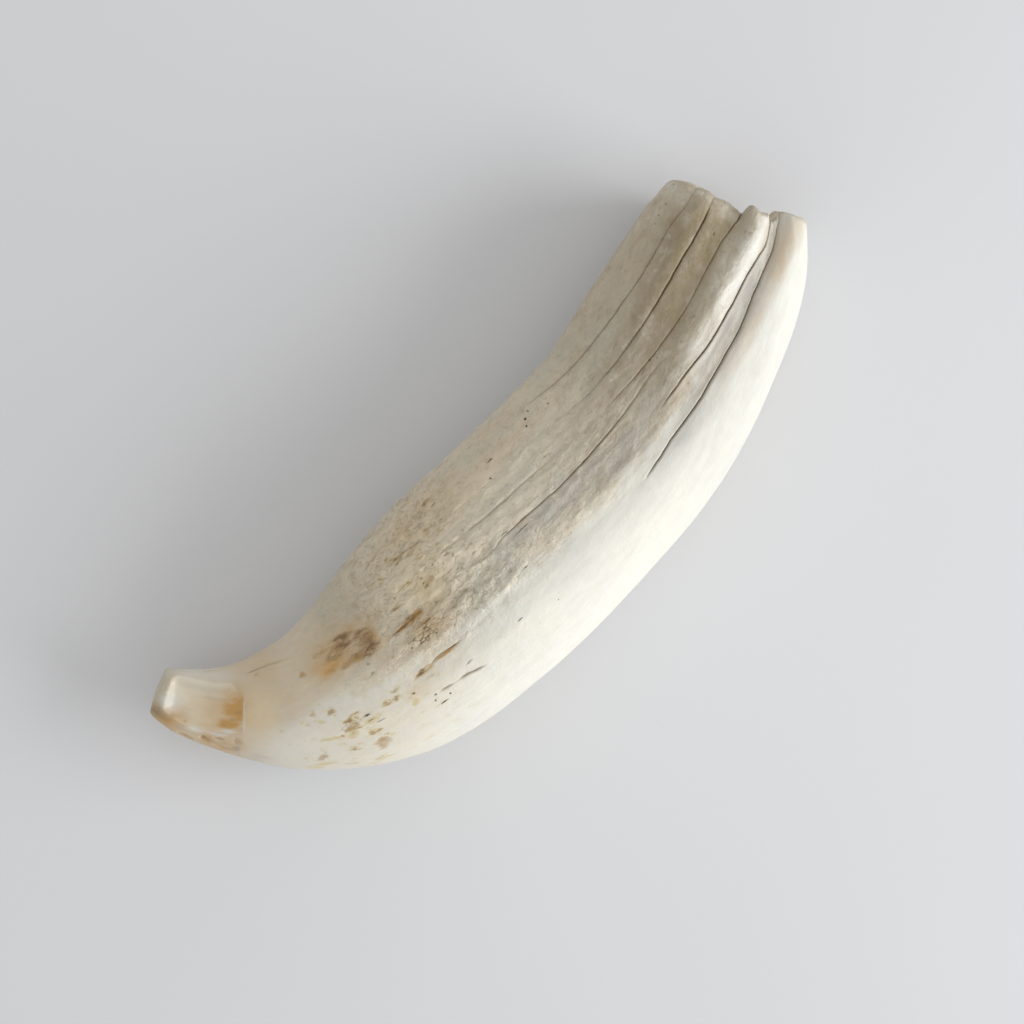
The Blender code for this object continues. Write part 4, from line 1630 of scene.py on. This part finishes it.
@dataclass(frozen=True)
class Stained:
    """The stains and the painted light: broad tints, streaks with ragged ends, dark clumps, curled threads,
    spots and grime.
    """

    # Each tint with its strength in the gaps of the noise that breaks it up. White carries painted
    # highlights, ash and olive partly painted shade.
    tints: tuple[tuple[Mark, float], ...] = (
        (Mark.BUFF, 0.6), (Mark.PALE, 0.4), (Mark.CREAM, 0.7), (Mark.TAN, 0.5), (Mark.AMBER, 0.45),
        (Mark.OLIVE, 0.45), (Mark.ASH, 0.6), (Mark.WHITE, 0.8),
    )
    soft: Texture = Texture(3.2, 4.0, 0.62, 0.45)
    soft_gaps: Pair = (0.28, 0.68)
    dirt: float = 0.45
    streaks: tuple[Mark, ...] = (Mark.YELLOW, Mark.OCHRE, Mark.ORANGE)
    flow: Texture = Texture(1.5, 5.0, 0.65, 0.5)
    flow_reach: float = 1.3
    streak_edge: Ramp = Ramp(0.3, 0.8, 0.0, 0.85)
    streak_ends: Ramp = Ramp(0.04, 0.3)
    clump: Texture = Texture(1.2, 5.0, 0.66, 0.34)
    clumps: Ramp = Ramp(0.43, 0.56, 0.2, 0.95)
    clump_edge: Ramp = Ramp(0.05, 0.8)
    curl: Texture = Texture(1.7, 2.5, 0.5, 0.55)
    threads: Ramp = Ramp(0.05, 0.012, 0.05, 1.0)
    thread_edge: Ramp = Ramp(0.1, 0.8)
    threaded: tuple[tuple[Mark, float], ...] = ((Mark.CURL, 0.9), (Mark.BROWN, 0.35))
    spot: Texture = Texture(2.3, 3.0, 0.6, 0.5)
    spots: tuple[tuple[Mark, Ramp], ...] = (
        (Mark.YELLOW, Ramp(0.55, 0.60, 0.0, 0.6)),
        (Mark.OCHRE, Ramp(0.61, 0.65, 0.0, 0.8)),
        (Mark.BROWN, Ramp(0.66, 0.70, 0.0, 0.8)),
    )
    speck: Texture = Texture(1.3, 3.0, 0.55, 0.5)
    specks: Ramp = Ramp(0.66, 0.73, 0.0, 0.45)
    grime: Texture = Texture(0.9, 4.0, 0.7, 0.6)
    grimy: Ramp = Ramp(0.60, 0.70, 0.0, 0.6)
    growth: float = 0.3

    def colour(self, ground: Ground, colour: Signal, growth: Signal) -> Signal:
        """Lays the stains, painted highlights and painted shade over a colour.

        Args:
            ground: What the layers share.
            colour: The clean ivory.
            growth: The growth lines, from 0 to 1.

        Returns:
            The stained colour, without the cracks' dark lines.
        """
        bench, skin = ground.bench, ground.skin
        soft = skin.noise(self.soft)
        for mark, least in self.tints:
            cover = bench.mask(mark) * soft.through(Ramp(*self.soft_gaps, least))
            colour = bench.mix(cover, colour, mark)
        colour = bench.mix(bench.mask("dirt") * self.dirt, colour, Shade.DIRT)
        wander = (skin.noise(self.flow) - NOISE_MIDDLE) * self.flow_reach
        for mark in self.streaks:
            own = bench.mask(mark)
            cover = (own + wander).through(self.streak_edge) * own.through(self.streak_ends)
            colour = bench.mix(cover, colour, mark)
        clumps = skin.noise(self.clump).through(self.clumps)
        colour = bench.mix(bench.mask(Mark.BROWN).through(self.clump_edge) * clumps, colour, Mark.BROWN)
        threads = abs(skin.noise(self.curl) - NOISE_MIDDLE).through(self.threads)
        for mark, most in self.threaded:
            cover = bench.mask(mark).through(self.thread_edge.up_to(most)) * threads
            colour = bench.mix(cover, colour, Mark.CURL)
        spot = skin.noise(self.spot)
        for mark, ramp in self.spots:
            colour = bench.mix(bench.mask("spotty") * spot.through(ramp), colour, mark)
        for texture, ramp, region in ((self.speck, self.specks, "scaly"), (self.grime, self.grimy, "grey")):
            colour = bench.mix(skin.noise(texture).through(ramp) * bench.mask(region), colour, Mark.BROWN)
        return bench.mix(growth * self.growth, colour, Shade.DIRT)


@dataclass(frozen=True)
class Fine:
    """Relief too fine for the mesh. Each part has its height in millimetres."""

    fibre: float = 0.03
    dust: Texture = Texture(0.6, 3.0, 0.6)
    dust_height: float = 0.04
    flake_height: float = 0.75
    flake_shown: Ramp = Ramp(0.0, 1.0, 0.12, 1.0)
    layer: Texture = Texture(5.0, 6.0, 0.6, 0.4)
    ledges: tuple[Ramp, ...] = (Ramp(0.44, 0.455), Ramp(0.52, 0.535), Ramp(0.60, 0.615))
    ledge_height: float = 0.13
    pore: Texture = Texture(1.3, 4.0, 0.6, 0.8)
    pore_height: float = 0.9
    nick_height: float = -0.2
    growth_height: float = -0.07
    scar_smooths: float = 0.85

    def normal(self, ground: Ground, nicks: Signal, growth: Signal) -> Signal:
        """Bends the light's normal.

        Args:
            ground: What the layers share.
            nicks: The darkness of the nicks, which are also hollow.
            growth: The growth lines, which are hollow as well.

        Returns:
            The bent normal.
        """
        bench, skin, scaly = ground.bench, ground.skin, ground.bench.mask("scaly")
        layer = skin.noise(self.layer)
        ledges = reduce(Signal.__add__, [layer.through(ledge) for ledge in self.ledges])
        height = reduce(Signal.__add__, [
            ground.fibre * self.fibre,
            skin.noise(self.dust) * self.dust_height,
            ground.flake * scaly.through(self.flake_shown) * self.flake_height,
            ledges * scaly * self.ledge_height,
            skin.noise(self.pore) * bench.mask("porous") * self.pore_height,
            nicks * self.nick_height,
            growth * self.growth_height,
        ])
        height = height * (1 - bench.mask("scar") * self.scar_smooths)
        inputs = {"Strength": 1.0, "Distance": MM, "Height": height}
        return bench.node("ShaderNodeBump", {}, inputs, "Normal")


@dataclass(frozen=True)
class Ivory:
    """Old, dry tooth ivory: chalky and beige, stained, cracked, and glossy where it was flaked."""

    clean: Clean = Clean()
    stained: Stained = Stained()
    fine: Fine = Fine()
    flake: Texture = Texture(2.1, 6.0, 0.64, 0.72)
    fibre: Texture = Texture(0.9, 4.0, 0.6, 0.2)
    crack: Ramp = Ramp(0.2, 1.0, 0.0, 0.9)
    nicks: tuple[Nick, ...] = NICKS
    nick_edge: Pair = (0.35, 0.95)
    nick_height: float = 3.0
    wave: Texture = Texture(0.9, 2.0, 0.5)
    wave_reach: Triple = (0.8, 0.5, 0.5)
    sway: Texture = Texture(3.0)
    sway_reach: float = 7.0
    growth_turns: float = 26.0
    growth_line: Ramp = Ramp(-0.2, 1.0)
    growth_starts: Ramp = Ramp(0.02, 0.12)
    growth_on_end: Ramp = Ramp(0.0, 1.0, 1.0, 0.5)
    uneven: Texture = Texture(2.5)
    rough: Ramp = Ramp(0.3, 0.7, 0.50, 0.66)
    end_gloss: float = 0.6
    scar_rough: float = 0.30
    specular: float = 0.45
    glow: float = 0.12
    glow_radius: Triple = (1.0, 0.75, 0.5)
    glow_depth: float = 0.0015

    def material(self) -> bpy.types.Material:
        """Builds the material.

        Returns:
            The ivory, for a mesh that carries the tooth's masks.
        """
        bench = Bench("ivory")
        skin = bench.node("ShaderNodeAttribute", {"attribute_name": "skin"}, {}, "Vector")
        ground = Ground(bench, skin, skin.noise(self.flake), skin.noise(self.fibre))
        nicks, growth = self.nicked(ground), self.growth_lines(ground)
        colour = self.stained.colour(ground, self.clean.colour(ground), growth)
        dark = bench.mask("crack").through(self.crack).most(nicks)
        return bench.finish({
            "Base Color": bench.mix(dark, colour, Shade.CRACK),
            "Roughness": self.roughness(ground),
            "Normal": self.fine.normal(ground, nicks, growth),
            "Specular IOR Level": self.specular,
            "Subsurface Weight": self.glow,
            "Subsurface Radius": self.glow_radius,
            "Subsurface Scale": self.glow_depth,
        })

    def nicked(self, ground: Ground) -> Signal:
        """The small nicks, each with a wavy edge.

        Args:
            ground: What the layers share.

        Returns:
            How dark each place is because of them.
        """
        section = Section()
        shift = ground.skin.noise(self.wave, "Color").vector("SUBTRACT", (NOISE_MIDDLE,) * 3)
        shift = shift.vector("MULTIPLY", tuple(reach * MM for reach in self.wave_reach))
        where = ground.skin.vector("ADD", shift)
        darks = []
        for nick in self.nicks:
            away = where.vector("SUBTRACT", nick.centre(section))
            halves = (nick.length, nick.breadth, self.nick_height)
            away = away.vector("MULTIPLY", tuple(1 / (half * MM) for half in halves))
            far = ground.bench.node("ShaderNodeVectorMath", {"operation": "LENGTH"}, {0: away}, "Value")
            darks.append(far.through(Ramp(*self.nick_edge, nick.strength, 0.0)))
        return reduce(Signal.most, darks)

    def growth_lines(self, ground: Ground) -> Signal:
        """The thin layers that show on the worn end and on the rim.

        Args:
            ground: What the layers share.

        Returns:
            Their lines, from 0 to 1.
        """
        layer = ground.bench.mask("growth")
        wave = layer * self.growth_turns + ground.skin.noise(self.sway) * self.sway_reach
        shown = layer.through(self.growth_starts) * ground.bench.mask("end").through(self.growth_on_end)
        return wave.sine().through(self.growth_line) * shown

    def roughness(self, ground: Ground) -> Signal:
        """How rough the skin is: dull chalk, softly shining plates and the glossy scar.

        Args:
            ground: What the layers share.

        Returns:
            The roughness.
        """
        glossy = ground.bench.mask("scar").most(ground.bench.mask("end") * self.end_gloss)
        uneven = ground.skin.noise(self.uneven).through(self.rough)
        return uneven * (1 - glossy) + glossy * self.scar_rough


@dataclass(frozen=True)
class TableTop:
    """A smooth, pale table top."""

    rough: float = 0.6
    specular: float = 0.3
    paler: float = 1.02
    cloud: Texture = Texture(160.0, 2.0)
    cloud_edge: Ramp = Ramp(0.3, 0.7)

    def material(self) -> bpy.types.Material:
        """Builds the material.

        Returns:
            The table top, with hardly visible clouds.
        """
        bench = Bench("table_top")
        where = bench.node("ShaderNodeTexCoord", {}, {}, "Object")
        cloud = where.noise(self.cloud).through(self.cloud_edge)
        paler = tuple(self.paler * part for part in Shade.TABLE.value)
        colour = bench.mix(cloud, Shade.TABLE, (*paler, 1))
        return bench.finish({
            "Base Color": colour,
            "Roughness": self.rough,
            "Specular IOR Level": self.specular,
        })


@dataclass
class Studio:
    """The table, the window light and the camera over the tooth: metres, and millimetres in the camera."""

    table_half: float = 3.0
    lens: float = 85.0
    sensor: float = 36.0
    frame_width: float = 0.2276
    focus_height: float = 0.02
    aim: Pair = (-0.00024, -0.00102)
    turn: float = -40.0
    window_from: Triple = (0.70, -0.82, 0.42)
    window_away: float = 1.2
    window_size: Pair = (0.9, 0.65)
    window_power: float = 12.3
    sky: Triple = (1.0, 0.985, 0.96)
    sky_strength: float = 0.605

    def table(self) -> bpy.types.Object:
        """The table top, which isn't part of the tooth.

        Returns:
            The table's object.
        """
        sheet = bmesh.new()
        bmesh.ops.create_grid(sheet, x_segments=1, y_segments=1, size=self.table_half)
        table = placed("table_top", mesh_from(sheet, "table_top"))
        table.data.materials.append(TableTop().material())
        return table

    def window(self) -> bpy.types.Object:
        """One large, soft light from the side.

        Returns:
            The light's object.
        """
        lamp = bpy.data.lights.new("window", "AREA")
        lamp.shape = "RECTANGLE"
        lamp.size, lamp.size_y = self.window_size
        lamp.energy = self.window_power
        window = placed("window", lamp)
        back = Vector(self.window_from).normalized()
        facing = back.to_track_quat("Z", "Y").to_matrix().to_4x4()
        window.matrix_world = Matrix.Translation(back * self.window_away) @ facing
        return window

    def sky_light(self) -> None:
        """Even light from all round."""
        world = bpy.data.worlds.new("sky")
        world.use_nodes = True
        background = world.node_tree.nodes["Background"]
        background.inputs["Color"].default_value = (*self.sky, 1)
        background.inputs["Strength"].default_value = self.sky_strength
        bpy.context.scene.world = world

    def camera(self) -> bpy.types.Object:
        """The camera, straight over the tooth and turned as the photograph is.

        Returns:
            The camera's object.
        """
        lens = bpy.data.cameras.new("camera")
        lens.lens, lens.sensor_width = self.lens, self.sensor
        height = self.focus_height + self.frame_width * self.lens / self.sensor
        camera = placed("camera", lens)
        turned = Matrix.Rotation(math.radians(self.turn), 4, "Z")
        camera.matrix_world = Matrix.Translation((*self.aim, height)) @ turned
        bpy.context.scene.camera = camera
        return camera

    def build(self) -> None:
        """Sets the whole studio up."""
        for made in (self.table(), self.window(), self.camera()):
            LOG.info("studio: %s", made.name)
        self.sky_light()
        bpy.context.scene.view_settings.view_transform = "Standard"


def main() -> None:
    """Builds the tooth and the studio round it."""
    logging.basicConfig(level=logging.INFO, format="%(name)s: %(message)s")
    Tooth().build(Ivory())
    Studio().build()


if __name__ == "__main__":
    main()
